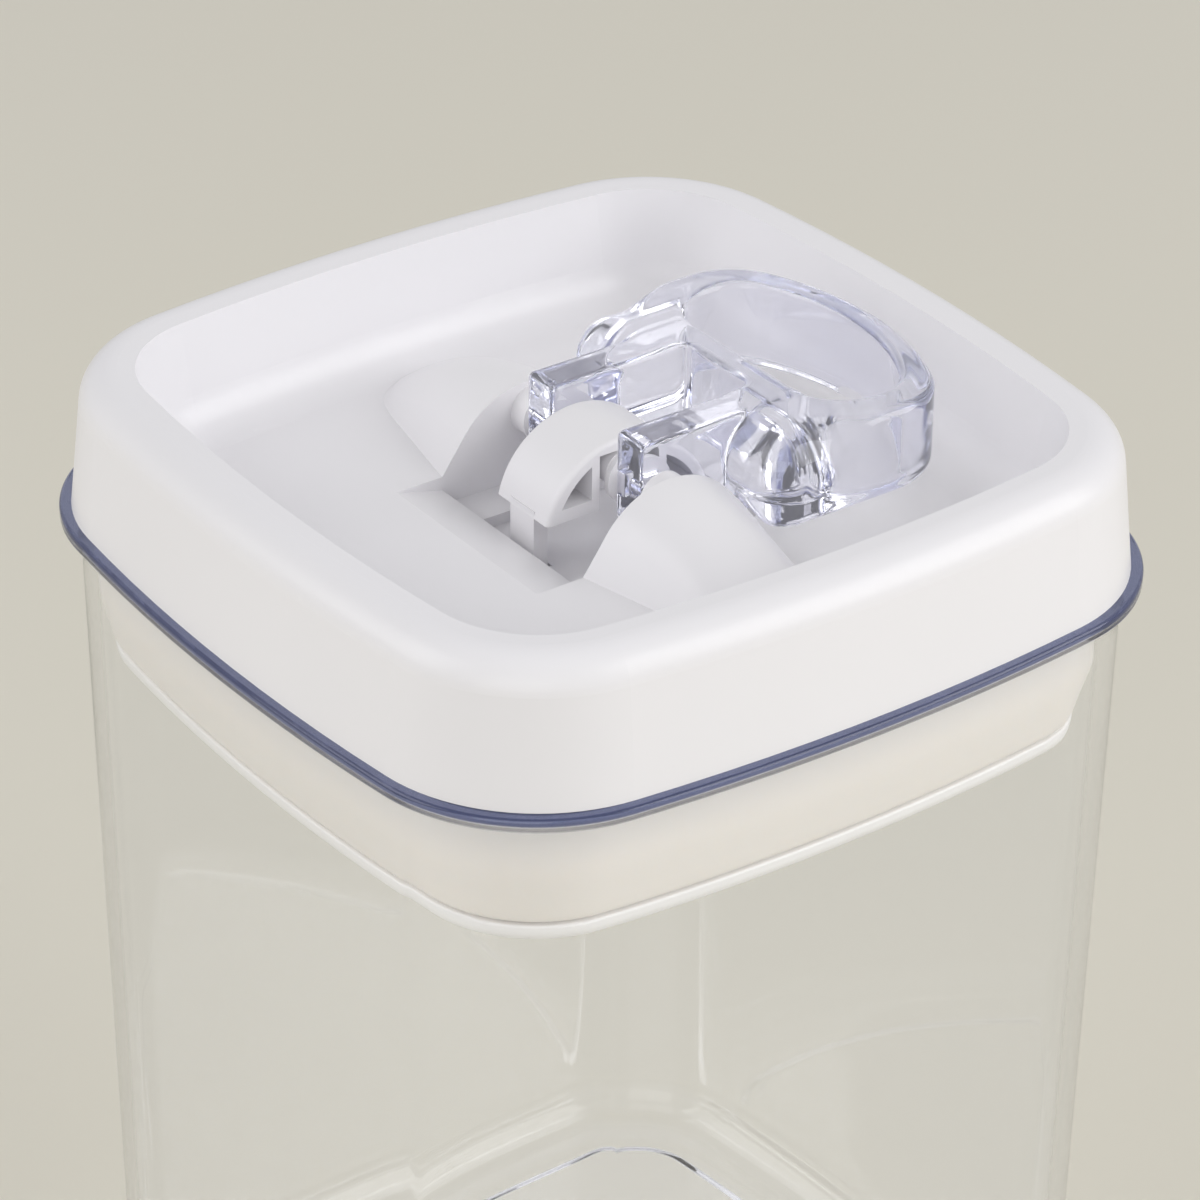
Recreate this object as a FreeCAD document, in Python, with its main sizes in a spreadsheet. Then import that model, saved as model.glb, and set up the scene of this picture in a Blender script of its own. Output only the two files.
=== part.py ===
"""Square kitchen canister with a flip lever lid, in millimetres.

The clear container stands on its base at the origin, +Z up. +X runs from the lever's pivot to its
finger ring, and the pivot pin lies along Y. The lever is flat and the seal is squeezed, as in use.
"""
import FreeCAD, Part
import math
import os
import Sketcher

Vector = FreeCAD.Vector
doc = FreeCAD.newDocument("storage_container")
sheet = doc.addObject("Spreadsheet::Sheet", "Sizes")

# Sizes, in millimetres
SIZES = {
    # Container
    "rim_half": 54.6,           # rim flange, centre to the middle of a side
    "rim_corner": 22.7,         # rim flange, corner radius
    "side_curve": 290.0,        # radius of the slightly bowed sides
    "body_height": 132.0,       # base to rim
    "flange_height": 1.9,       # rim flange, thickness
    "flange_reach": 2.4,        # rim flange, how far it stands out of the wall
    "flange_edge": 0.5,         # rim flange, rounding of its edges
    "wall": 2.2,                # container wall
    "wall_draft": 2.1,          # how much the wall leans in over its height
    "base_thickness": 2.6,      # container floor
    "base_recess": 0.8,         # hollow under the floor inside the foot ring
    "base_radius": 6.0,         # outer rounding at the base
    "foot_width": 3.5,          # flat foot ring
    "recess_run": 1.2,          # slope between the foot ring and the hollow
    "floor_ring": 16.0,         # part of the floor that the wall profile carries
    "overlap": 1.5,             # how far joined forms run into each other
    "cut_over": 3.0,            # how far cuts run past a face
    # Lid shell
    "lid_inset": 1.3,           # ledge of the rim left bare round the lid
    "lid_corner": 22.2,         # lid, corner radius at its lower edge
    "lid_height": 18.0,         # rim to the crest of the lid
    "lid_lean": 1.9,            # how much the lid's outer wall leans in
    "crest_radius": 4.5,        # rounding of the lid's crest
    "crest_width": 6.4,         # outer wall line to the edge of the dish, at the crest
    "crest_drop": 0.3,          # fall of the crest towards the dish
    "dish_depth": 14.2,         # crest to the dish floor
    "dish_lean": 3.0,           # how much the dish wall leans in
    "dish_radius": 6.0,         # hollow between dish wall and floor
    "dish_ring": 18.3,          # outer edge of the lid to the flat of the dish
    "shell": 2.2,               # wall of the lid's mouldings
    "cavity_top": 1.2,          # rounding inside the crest
    # Well and mounds, with lengths from the canister's middle
    "well_front": 12.4,         # middle to the well's edge, away from the ring
    "well_back": 14.0,          # middle to the well's edge, under the ring
    "well_depth": 3.8,          # dish floor to the well's floor
    "trough_half": 8.7,         # half width of the trough along the well
    "trough_depth": 1.5,        # well floor to the trough
    "trough_wall": 1.7,         # thickness under the trough
    "apron_run": 6.6,           # slope in front of the well
    "apron_drop": 1.8,          # fall of that slope
    "mound_shift": 0.2,         # middle to the mounds' ridge, away from the ring
    "mound_half": 13.0,         # half length of a mound's flat face at its foot
    "mound_rise": 17.1,         # dish floor to where the flanks of that face would meet
    "mound_round": 10.9,        # rounding over that face
    "mound_room": 3.5,          # a mound's outer end to the foot of the dish wall
    # Pivot, its pins and bushes
    "pivot_shift": 0.8,         # middle to the pivot
    "pivot_rise": 5.4,          # pivot above the dish floor
    "pin_radius": 1.25,         # pivot pin
    "pin_bury": 3.4,            # pin's length inside an arm
    "pin_head": 2.2,            # radius of the pin's head
    "pin_head_height": 1.4,     # height of the pin's head
    "pin_chamfer": 0.3,         # pin's end chamfer
    "running_fit": 0.05,        # radial clearance where the lever turns on a pin
    "held_fit": 0.01,           # clearance between pieces that hold each other
    "head_room": 0.15,          # clearance round a pin's head
    "bush_collar": 3.2,         # radius of a bush's collar
    "bush_sleeve": 1.95,        # radius of a bush's sleeve
    "bush_play": 0.15,          # end play of the lever between the bushes
    "bush_length": 2.75,        # length of a bush's collar, out to a mound's flat face
    "keeper_half": 3.0,         # half width of the keeper behind a pin's head
    "keeper_thickness": 1.8,    # thickness of a keeper
    "keeper_play": 0.1,         # keeper to the pin's head
    "keeper_room": 0.4,         # air round a keeper in the mound
    # Lever, with lengths from the canister's middle
    "arm_inner": 6.25,          # middle to an arm's inner face
    "arm_width": 5.35,          # width of an arm
    "arm_tail": 2.0,            # middle to the arms' square ends
    "lever_rise": 7.2,          # pivot to the lever's top
    "lever_drop": 4.6,          # pivot to the lever's underside
    "gap_corner": 1.6,          # corners of the gap between the arms
    "ring_room": 0.6,           # ring's front to the foot of the dish wall
    "ring_front": 3.05,         # width of the ring at its front
    "ring_side": 4.7,           # width of the ring at its sides
    "bar_width": 3.7,           # crossbar between the arms and the finger hole
    "shoulder_start": 10.2,     # middle to the ring's shoulders
    "shoulder_corner": 2.0,     # corners of the shoulders, seen from above
    "shoulder_round": 5.8,      # rounding over the shoulders
    "lever_round": 0.9,         # rounding of the lever's upper edges
    "lever_under": 2.0,         # rounding of the lever's outer lower edges
    "lever_hole_under": 0.8,    # rounding of the lower edges inside the ring
    "mound_gap": 0.6,           # air between the lever's shoulders and the mounds
    # Cam axle
    "cam_radius": 2.5,          # round eccentric
    "lift": 1.8,                # travel of the pressure plate over the lever's quarter turn
    "cam_gap": 0.15,            # eccentric to the yoke
    "cam_collar": 3.6,          # radius of the axle's collars
    "cam_collar_play": 0.15,    # yoke to a collar
    "arm_play": 0.1,            # collar to an arm
    "peg_side": 3.0,            # side of the axle's square pegs
    "peg_depth": 1.2,           # depth of the square sockets in the arms
    # Pull yoke
    "yoke_radius": 11.2,        # yoke's arch, outside
    "yoke_centre_drop": 6.1,    # pivot to the arch's centre
    "yoke_band": 1.5,           # thickness of the arch's band
    "yoke_half": 5.2,           # half width of the arch
    "yoke_foot_drop": 3.7,      # pivot to the arch's lower edge
    "yoke_sill": 1.7,           # thickness of the bars at the arch's foot
    "yoke_slot": 3.4,           # half width of the eccentric's slot
    "yoke_web": 1.1,            # thickness of the webs beside the slot
    "yoke_edge": 0.6,           # rounding of the arch's outer edges
    "leg_inset": 0.3,           # arch's outside to a leg's outer face
    "leg_thickness": 2.0,       # thickness of a leg
    "leg_half": 2.4,            # half width of a leg
    "barb": 0.7,                # how far a leg's barb stands out
    "barb_rise": 1.6,           # height of a barb
    "barb_lead": 1.2,           # leg below its barb
    "barb_play": 0.1,           # clearance round a barb in its window
    "leg_slot": 0.4,            # clearance round the legs in the lid's slots
    # Lid base
    "opening_gap": 0.7,         # lid base to the container's mouth
    "brim_height": 2.3,         # thickness of the lid base's brim
    "brim_drop": 0.3,           # rim to the top of the brim
    "collar_width": 6.2,        # brim's edge to the collar's outside
    "collar_depth": 4.4,        # brim's underside to the floor's underside
    "base_floor": 2.0,          # lid base's floor
    "base_ring": 13.0,          # part of the floor that the base's profile carries
    "guide_place": 21.0,        # guides from the middle
    "guide_radius": 3.5,        # plate's guide posts
    "guide_length": 10.8,       # length of a guide post
    "guide_bore": 2.0,          # bore of a guide post
    "guide_fit": 0.3,           # clearance of a guide post in its sleeve
    "sleeve_wall": 1.4,         # wall of a sleeve
    "sleeve_depth": 6.5,        # sleeves below the floor
    # Screws
    "screw_place": 27.0,        # screws from the middle, each way
    "screw_radius": 1.45,       # screw's thread
    "screw_reach": 5.0,         # screw's length above the base's floor
    "screw_head": 2.8,          # screw's head
    "screw_head_height": 1.6,   # height of the screw's head
    "screw_hole": 1.7,          # hole for the screw in the lid base
    "boss_radius": 3.6,         # screw boss under the dish
    "recess_cross": 0.45,       # half width of the screw's cross recess
    "recess_reach": 1.6,        # half length of the cross recess
    "recess_depth": 0.9,        # depth of the cross recess
    # Pressure plate
    "plate_gap": 2.85,          # plate's edge inside the wall's mouth line
    "plate_height": 2.5,        # thickness of the plate's edge
    "plate_below": 18.3,        # rim to the top of the plate
    "plate_round": 1.8,         # rounding of the plate's lower edge
    "plate_round_top": 0.3,     # rounding of the plate's upper edge
    "plate_edge": 3.2,          # width of the plate's thicker edge
    "plate_ring": 12.0,         # part of the plate that its profile carries
    "plate_floor": 2.0,         # plate's floor
    "locating_rib": 2.2,        # rib inside the gasket's foot
    "locating_width": 1.4,      # width of that rib
    "locating_gap": 0.2,        # that rib to the gasket's foot
    "socket_height": 5.0,       # sockets for the yoke's legs
    "socket_wall": 1.5,         # wall of a socket
    "socket_fit": 0.15,         # clearance of a leg in its socket
    "rib_height": 3.0,          # stiffening ribs on the plate
    "rib_half": 0.7,            # half width of those ribs
    "rib_reach": 36.0,          # length of those ribs from the middle
    # Gasket
    "seal_gap": 0.3,            # squeezed gasket to the container's wall
    "seal_lean": 0.15,          # lean of the gasket's outside along the wall
    "seal_skin": 1.6,           # gasket's skin
    "seal_straight": 7.0,       # part of the gasket that lies along the wall
    "seal_foot": 2.4,           # gasket's foot inside its head
    "seal_lip": 6.0,            # gasket's outside to the edge of its lips
    "seal_bulge": 12.0,         # rounding of the gasket's bulge
    "seal_toe": 2.2,            # rounding of the gasket's foot
    "seal_corner": 1.0,         # rounding inside the gasket's head
}


class Size:
    """A size made of named cells: its value at the moment, and the expression that keeps it."""

    def __init__(self, value, text):
        self.value = value
        self.text = text

    def __add__(self, other):
        other = as_size(other)
        return Size(self.value + other.value, "(%s + %s)" % (self.text, other.text))

    def __radd__(self, other):
        return as_size(other) + self

    def __sub__(self, other):
        other = as_size(other)
        return Size(self.value - other.value, "(%s - %s)" % (self.text, other.text))

    def __rsub__(self, other):
        return as_size(other) - self

    def __mul__(self, other):
        other = as_size(other)
        return Size(self.value * other.value, "(%s * %s)" % (self.text, other.text))

    def __rmul__(self, other):
        return as_size(other) * self

    def __truediv__(self, other):
        other = as_size(other)
        return Size(self.value / other.value, "(%s / %s)" % (self.text, other.text))

    def __neg__(self):
        return Size(-self.value, "(0 - %s)" % self.text)


def as_size(value):
    """Turns a plain count or share into a Size."""
    return value if isinstance(value, Size) else Size(float(value), repr(float(value)))


ZERO = Size(0.0, "0")


class Cells:
    """The driving sizes, each tied to its cell of the sheet."""


s = Cells()
for row, (alias, value) in enumerate(SIZES.items(), 1):
    sheet.set("A%d" % row, str(value))
    sheet.setAlias("A%d" % row, alias)
    setattr(s, alias, Size(value, "Sizes." + alias))
doc.recompute()

# Places that several pieces share
rim_top = s.body_height
mouth_half = s.rim_half - s.flange_reach - s.wall
lid_half = s.rim_half - s.lid_inset
crest_top = rim_top + s.lid_height
dish_floor = crest_top - s.dish_depth
well_floor = dish_floor - s.well_depth
trough_floor = well_floor - s.trough_depth
well_underside = trough_floor - s.trough_wall
pivot_height = dish_floor + s.pivot_rise
crest_half = lid_half - s.lid_lean
dish_half = crest_half - s.crest_width
dish_foot = dish_half - s.dish_lean
arm_outer = s.arm_inner + s.arm_width
lever_low = pivot_height - s.lever_drop
lever_top = pivot_height + s.lever_rise
well_half = arm_outer + s.bush_play + s.bush_length
mound_wall = well_half + s.shell
mound_reach = dish_foot - s.mound_room - well_half
head_end = mound_wall + s.pin_head_height
brim_half = mouth_half - s.opening_gap
brim_top = rim_top - s.brim_drop
brim_under = brim_top - s.brim_height
base_under = brim_under - s.collar_depth
base_top = base_under + s.base_floor
plate_half = mouth_half - s.plate_gap
plate_top = rim_top - s.plate_below
plate_under = plate_top - s.plate_height
yoke_centre = pivot_height - s.yoke_centre_drop
yoke_foot = pivot_height - s.yoke_foot_drop
leg_outer = s.yoke_radius - s.leg_inset
leg_inner = leg_outer - s.leg_thickness
collar_start = s.yoke_half + s.cam_collar_play
collar_end = s.arm_inner - s.arm_play
seal_head = mouth_half - s.seal_gap
lip_inner = seal_head - s.seal_lip
pin_bore = s.pin_radius + s.running_fit
sleeve_bore = s.bush_sleeve + s.held_fit
SIDES = ((-1, "near"), (1, "far"))

# Finger ring and its hole: the outline's points and roundings as shares of the sizes they follow
head_half_share = 0.51
head_front_share = 0.87
head_corner_share = 0.52
hole_start_share = 0.519
hole_front_share = 0.704
hole_corner_share = 0.366
hole_back_share = 0.45
head_reach = dish_foot - s.ring_room
head_half = head_reach * head_half_share
head_front = head_reach * head_front_share
head_corner = head_half * head_corner_share
hole_start = head_reach * hole_start_share
hole_end = head_reach - s.ring_front
hole_half = head_half - s.ring_side
hole_front = hole_end * hole_front_share
hole_corner = hole_half * hole_corner_share
hole_back_round = (hole_end - hole_start) * hole_back_share
gap_end = hole_start - s.bar_width

# Sections of a mound from its flat face outwards: place, half length, rise and rounding, as shares
MOUND_SHARES = (
    (0.0, 1.0, 1.0, 1.0),
    (0.25, 0.9, 0.938, 0.89),
    (0.5, 0.805, 0.75, 0.81),
    (0.75, 0.725, 0.438, 0.87),
    (1.0, 0.66, 0.009, 1.2),
)
flank_share = 1.72


# Ways of building

def bind(thing, place, size):
    """Ties a property to a size."""
    thing.setExpression(place, as_size(size).text)


def new_body(label):
    """Starts a sub-part."""
    body = doc.addObject("PartDesign::Body", label)
    body.Label = label
    return body


def plane(body, role):
    """A body's own origin plane."""
    return [item for item in body.Origin.OriginFeatures if item.Role == role][0]


def new_sketch(body, name, role, away=None):
    """Puts a sketch on one of the body's planes, at a distance along the plane's normal."""
    sketch = body.newObject("Sketcher::SketchObject", name)
    sketch.AttachmentSupport = [(plane(body, role), "")]
    sketch.MapMode = "FlatFace"
    if away is not None:
        bind(sketch, "AttachmentOffset.Base.z", away)
    return sketch


def fix(sketch, kind, size, *ends):
    """Adds a dimension tied to a size."""
    index = sketch.addConstraint(Sketcher.Constraint(kind, *ends, as_size(size).value))
    sketch.setExpression("Constraints[%d]" % index, as_size(size).text)


def place_point(sketch, item, end, across, up):
    """Places a sketch point, on an axis where its size is zero."""
    if across is ZERO:
        sketch.addConstraint(Sketcher.Constraint("PointOnObject", item, end, -2))
    else:
        fix(sketch, "DistanceX", across, item, end)
    if up is ZERO:
        sketch.addConstraint(Sketcher.Constraint("PointOnObject", item, end, -1))
    else:
        fix(sketch, "DistanceY", up, item, end)


def rounded_corner(before, here, after, radius):
    """Numbers for an arc that rounds the corner between two lines: arc, its ends, and its turn."""
    into = (here - before).normalize()
    out = (after - here).normalize()
    turn = into.getAngle(out)
    reach = radius * math.tan(turn / 2)
    first = here - into * reach
    last = here + out * reach
    left = into.x * out.y - into.y * out.x > 0
    side = Vector(-into.y, into.x, 0) * (radius if left else -radius)
    centre = first + side
    start, end = (first, last) if left else (last, first)
    angles = [math.atan2(point.y - centre.y, point.x - centre.x) for point in (start, end)]
    if angles[1] < angles[0]:
        angles[1] += 2 * math.pi
    arc = Part.ArcOfCircle(Part.Circle(centre, Vector(0, 0, 1), radius), *angles)
    return arc, first, last, left


def outline(sketch, corners):
    """Closes lines through the corners, each (across, up) or (across, up, rounding)."""
    count = len(corners)
    spots = [Vector(as_size(c[0]).value, as_size(c[1]).value, 0) for c in corners]
    firsts, lasts, arcs = list(spots), list(spots), [None] * count
    for i, corner in enumerate(corners):
        if len(corner) > 2:
            arc, firsts[i], lasts[i], left = rounded_corner(
                spots[i - 1], spots[i], spots[(i + 1) % count], as_size(corner[2]).value)
            arcs[i] = (sketch.addGeometry(arc, False), left)
    lines = []
    for i in range(count):
        line = Part.LineSegment(lasts[i], firsts[(i + 1) % count])
        lines.append(sketch.addGeometry(line, False))
    for i, corner in enumerate(corners):
        before, after = lines[i - 1], lines[i]
        if arcs[i] is None:
            sketch.addConstraint(Sketcher.Constraint("Coincident", before, 2, after, 1))
            place_point(sketch, after, 1, corner[0], corner[1])
            continue
        arc, left = arcs[i]
        near, far = (1, 2) if left else (2, 1)
        mark = sketch.addGeometry(Part.Point(spots[i]), True)
        sketch.addConstraint(Sketcher.Constraint("Tangent", before, 2, arc, near))
        sketch.addConstraint(Sketcher.Constraint("Tangent", arc, far, after, 1))
        place_point(sketch, mark, 1, corner[0], corner[1])
        sketch.addConstraint(Sketcher.Constraint("PointOnObject", mark, 1, before))
        sketch.addConstraint(Sketcher.Constraint("PointOnObject", mark, 1, after))
        fix(sketch, "Radius", corner[2], arc)
    return sketch


def rectangle(sketch, left, right, low, high, rounding=None):
    """Closes a rectangle between four sizes."""
    extra = () if rounding is None else (rounding,)
    return outline(sketch, [(left, low) + extra, (right, low) + extra,
                            (right, high) + extra, (left, high) + extra])


def circle(sketch, across, up, radius):
    """Adds a circle."""
    spot = Vector(as_size(across).value, as_size(up).value, 0)
    item = sketch.addGeometry(Part.Circle(spot, Vector(0, 0, 1), as_size(radius).value), False)
    place_point(sketch, item, 3, across, up)
    fix(sketch, "Radius", radius, item)
    return sketch


def bowed_square(sketch, half, corner):
    """Draws the canister's plan: four long arcs and four corner arcs, each tangent to the next."""
    big, small, reach = s.side_curve.value, as_size(corner).value, as_size(half).value
    shift = big - reach
    spread = (math.sqrt(2 * (big - small) ** 2 - shift ** 2) - shift) / 2
    lean = math.atan2(spread, spread + shift)
    items = []
    for quarter in range(4):
        facing = quarter * math.pi / 2
        diagonal = facing + math.pi / 4
        side_centre = Vector(-shift * math.cos(facing), -shift * math.sin(facing), 0)
        corner_centre = Vector(math.cos(diagonal), math.sin(diagonal), 0) * spread * math.sqrt(2)
        side = Part.Circle(side_centre, Vector(0, 0, 1), big)
        bend = Part.Circle(corner_centre, Vector(0, 0, 1), small)
        items.append(sketch.addGeometry(Part.ArcOfCircle(side, facing - lean, facing + lean), False))
        ends = (facing + lean, facing + math.pi / 2 - lean)
        items.append(sketch.addGeometry(Part.ArcOfCircle(bend, *ends), False))
    for i, item in enumerate(items):
        sketch.addConstraint(Sketcher.Constraint("Tangent", item, 2, items[(i + 1) % 8], 1))
    sketch.addConstraint(Sketcher.Constraint("PointOnObject", items[0], 3, -1))
    sketch.addConstraint(Sketcher.Constraint("PointOnObject", items[2], 3, -2))
    for i in (4, 6):
        sketch.addConstraint(Sketcher.Constraint("Symmetric", items[i - 4], 3, items[i], 3, -1, 1))
    for i in (2, 4, 6):
        sketch.addConstraint(Sketcher.Constraint("Equal", items[0], items[i]))
    for i in (3, 5, 7):
        sketch.addConstraint(Sketcher.Constraint("Equal", items[1], items[i]))
    fix(sketch, "Radius", s.side_curve, items[0])
    fix(sketch, "Radius", corner, items[1])
    fix(sketch, "DistanceX", s.side_curve - half, items[0], 3, -1, 1)
    fix(sketch, "DistanceY", s.side_curve - half, items[2], 3, -1, 1)
    return sketch


def settle(thing):
    """Recomputes and gives the feature back, so that the next one can build on it."""
    doc.recompute()
    if "Invalid" in thing.State or thing.Shape.isNull():
        raise RuntimeError("%s didn't build: %s" % (thing.Label, thing.State))
    return thing


def pad(body, sketch, length, both_ways=False, name="pad"):
    """Pads a sketch along its normal, or half each way."""
    feature = body.newObject("PartDesign::Pad", name)
    feature.Profile = sketch
    feature.Midplane = both_ways
    bind(feature, "Length", length)
    return settle(feature)


def pocket(body, sketch, length, both_ways=False, up=False, name="pocket"):
    """Cuts a sketch against its normal, along it with up, or half each way."""
    feature = body.newObject("PartDesign::Pocket", name)
    feature.Profile = sketch
    feature.Midplane = both_ways
    feature.Reversed = up
    bind(feature, "Length", length)
    return settle(feature)


def sweep(body, path, profile, name="sweep"):
    """Carries a profile once round the canister's plan."""
    feature = body.newObject("PartDesign::AdditivePipe", name)
    feature.Profile = profile
    feature.Spine = (path, [])
    feature.Mode = "Frenet"
    return settle(feature)


def edges_where(feature, test):
    """Names of the feature's edges whose middle passes a test."""
    names = []
    for number, edge in enumerate(feature.Shape.Edges, 1):
        middle = edge.valueAt((edge.FirstParameter + edge.LastParameter) / 2)
        if test(middle, edge):
            names.append("Edge%d" % number)
    return names


def fillet(body, feature, test, radius, name="fillet"):
    """Rounds the edges that pass a test."""
    rounding = body.newObject("PartDesign::Fillet", name)
    rounding.Base = (feature, edges_where(feature, test))
    bind(rounding, "Radius", radius)
    return settle(rounding)


def near(value, size, slack=1e-3):
    """Says whether a coordinate lies at a size."""
    return abs(value - as_size(size).value) < slack


def span(side, near_end, far_end):
    """The two ends of a stretch on one side of the middle, the lower one first."""
    return (near_end, far_end) if side > 0 else (-far_end, -near_end)


def slab(body, name, side, near_end, far_end, draw):
    """Pads an upright sketch over a stretch of Y on one side of the middle."""
    low, high = span(side, near_end, far_end)
    sketch = new_sketch(body, name, "XZ_Plane", -high)
    draw(sketch)
    return pad(body, sketch, high - low, name=name + "_pad")


def slab_cut(body, name, side, near_end, far_end, draw):
    """Cuts an upright sketch over a stretch of Y on one side of the middle."""
    low, high = span(side, near_end, far_end)
    sketch = new_sketch(body, name, "XZ_Plane", -high)
    draw(sketch)
    before = body.Tip.Shape.Volume
    feature = pocket(body, sketch, high - low, up=True, name=name + "_cut")
    if feature.Shape.Volume >= before:
        raise RuntimeError("%s cuts nothing" % feature.Label)
    return feature


def mound(body, kind, name, side, start, grow, count):
    """A mound through the first sections of its form, set out or in by a wall, added or cut."""
    lift = grow * flank_share
    foot = dish_floor - s.shell / 2 + lift
    sections = []
    for place_share, half_share, rise_share, round_share in MOUND_SHARES[:count]:
        place = well_half + mound_reach * place_share if sections else start
        sketch = new_sketch(body, "%s_%d" % (name, len(sections) + 1), "XZ_Plane", place * -side)
        half = s.mound_half * half_share
        outline(sketch, [
            (-s.mound_shift - half, foot),
            (half - s.mound_shift, foot),
            (-s.mound_shift, dish_floor + s.mound_rise * rise_share + lift,
             s.mound_round * round_share + grow),
        ])
        sections.append(sketch)
    doc.recompute()
    feature = body.newObject(kind, name)
    feature.Profile = sections[0]
    feature.Sections = sections[1:]
    return settle(feature)


def leg_slots(body, name, height, depth):
    """Cuts the two slots that the yoke's legs run in."""
    for side, word in ((-1, "front"), (1, "back")):
        slot = new_sketch(body, name + "_" + word, "XY_Plane", height)
        rectangle(slot, *span(side, leg_inner - s.leg_slot, leg_outer + s.leg_slot),
                  -s.leg_half - s.leg_slot, s.leg_half + s.leg_slot)
        pocket(body, slot, depth, name=name + "_cut_" + word)


def peg(sketch, grow):
    """Draws the axle's square round the pivot."""
    half = s.peg_side / 2 + grow
    rectangle(sketch, s.pivot_shift - half, s.pivot_shift + half, pivot_height - half, pivot_height + half)


def ring_edge(sketch, reach, half, front, bend, side_end):
    """One edge of the near half of the finger ring: a front arc, a corner arc and a side line."""
    up = Vector(0, 0, 1)
    front_centre = Vector(reach.value - front.value, 0, 0)
    drop = half.value - bend.value
    along = math.sqrt((front.value - bend.value) ** 2 - drop ** 2)
    corner_centre = front_centre + Vector(along, -drop, 0)
    meet = math.atan2(-drop, along)
    front_arc = sketch.addGeometry(Part.ArcOfCircle(
        Part.Circle(front_centre, up, front.value), meet, 0), False)
    bend_arc = sketch.addGeometry(Part.ArcOfCircle(
        Part.Circle(corner_centre, up, bend.value), -math.pi / 2, meet), False)
    side = sketch.addGeometry(Part.LineSegment(
        Vector(side_end, -half.value, 0), Vector(corner_centre.x, -half.value, 0)), False)
    sketch.addConstraint(Sketcher.Constraint("Tangent", bend_arc, 2, front_arc, 1))
    sketch.addConstraint(Sketcher.Constraint("Tangent", side, 2, bend_arc, 1))
    sketch.addConstraint(Sketcher.Constraint("Horizontal", side))
    sketch.addConstraint(Sketcher.Constraint("PointOnObject", front_arc, 3, -1))
    sketch.addConstraint(Sketcher.Constraint("PointOnObject", front_arc, 2, -1))
    fix(sketch, "Radius", front, front_arc)
    fix(sketch, "Radius", bend, bend_arc)
    fix(sketch, "DistanceX", reach, front_arc, 2)
    fix(sketch, "DistanceY", -half, side, 1)
    return front_arc, side


def half_lever(sketch):
    """Closes the near half of the lever's plan: ring, shoulder, arm, gap and finger hole."""
    up = Vector(0, 0, 1)

    def line(start, end):
        """Adds a straight line."""
        return sketch.addGeometry(Part.LineSegment(start, end), False)

    def bend(centre, radius, first, last):
        """Adds an arc."""
        circle = Part.Circle(Vector(centre[0], centre[1], 0), up, radius)
        return sketch.addGeometry(Part.ArcOfCircle(circle, first, last), False)

    def tie(*parts):
        """Adds a constraint without a size."""
        sketch.addConstraint(Sketcher.Constraint(*parts))

    corner, back, soft = s.shoulder_corner.value, hole_back_round.value, s.gap_corner.value
    outer, inner, tail = -arm_outer.value, -s.arm_inner.value, -s.arm_tail.value
    gap, start, side_y = gap_end.value, hole_start.value, -hole_half.value
    shoulder, half_y = s.shoulder_start.value, -head_half.value
    front_arc, side = ring_edge(sketch, head_reach, head_half, head_front, head_corner,
                                shoulder + corner)
    shoulder_arc = bend((shoulder + corner, half_y + corner), corner, math.pi, 1.5 * math.pi)
    shoulder_line = line(Vector(shoulder, half_y + corner, 0), Vector(shoulder, outer, 0))
    spots = [Vector(shoulder, outer, 0), Vector(tail, outer, 0),
             Vector(tail, inner, 0), Vector(gap - soft, inner, 0)]
    arm = [line(a, b) for a, b in zip(spots, spots[1:])]
    gap_arc = bend((gap - soft, inner + soft), soft, -math.pi / 2, 0)
    bar = line(Vector(gap, inner + soft, 0), Vector(gap, 0, 0))
    bar_middle = line(Vector(gap, 0, 0), Vector(start, 0, 0))
    hole_line = line(Vector(start, 0, 0), Vector(start, side_y + back, 0))
    back_arc = bend((start + back, side_y + back), back, math.pi, 1.5 * math.pi)
    hole_arc, hole_side = ring_edge(sketch, hole_end, hole_half, hole_front, hole_corner, start + back)
    ring_middle = line(Vector(hole_end.value, 0, 0), Vector(head_reach.value, 0, 0))
    tie("Tangent", side, 1, shoulder_arc, 2)
    tie("Tangent", shoulder_arc, 1, shoulder_line, 1)
    tie("Vertical", shoulder_line)
    tie("Coincident", shoulder_line, 2, arm[0], 1)
    tie("Coincident", arm[0], 2, arm[1], 1)
    tie("Coincident", arm[1], 2, arm[2], 1)
    tie("Horizontal", arm[0])
    tie("Vertical", arm[1])
    tie("Horizontal", arm[2])
    tie("Tangent", arm[2], 2, gap_arc, 1)
    tie("Tangent", gap_arc, 2, bar, 1)
    tie("Vertical", bar)
    tie("Coincident", bar, 2, bar_middle, 1)
    tie("Horizontal", bar_middle)
    tie("PointOnObject", bar_middle, 1, -1)
    tie("Coincident", bar_middle, 2, hole_line, 1)
    tie("Vertical", hole_line)
    tie("Tangent", hole_line, 2, back_arc, 1)
    tie("Tangent", back_arc, 2, hole_side, 1)
    tie("Coincident", hole_arc, 2, ring_middle, 1)
    tie("Coincident", ring_middle, 2, front_arc, 2)
    fix(sketch, "Radius", s.shoulder_corner, shoulder_arc)
    fix(sketch, "Radius", s.gap_corner, gap_arc)
    fix(sketch, "Radius", hole_back_round, back_arc)
    fix(sketch, "DistanceX", s.shoulder_start, shoulder_line, 2)
    fix(sketch, "DistanceX", gap_end, bar_middle, 1)
    fix(sketch, "DistanceX", hole_start, bar_middle, 2)
    place_point(sketch, arm[1], 1, -s.arm_tail, -arm_outer)
    fix(sketch, "DistanceY", -s.arm_inner, arm[1], 2)


def shoulder_over(sketch):
    """Draws what the rounding over a shoulder takes off, from the side."""
    low = lever_top - s.shoulder_round - s.cut_over
    far = s.shoulder_start + s.shoulder_round + s.cut_over
    outline(sketch, [
        (s.shoulder_start - s.cut_over, low),
        (s.shoulder_start, low),
        (s.shoulder_start, lever_top, s.shoulder_round),
        (far, lever_top),
        (far, lever_top + s.cut_over),
        (s.shoulder_start - s.cut_over, lever_top + s.cut_over),
    ])


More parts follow.
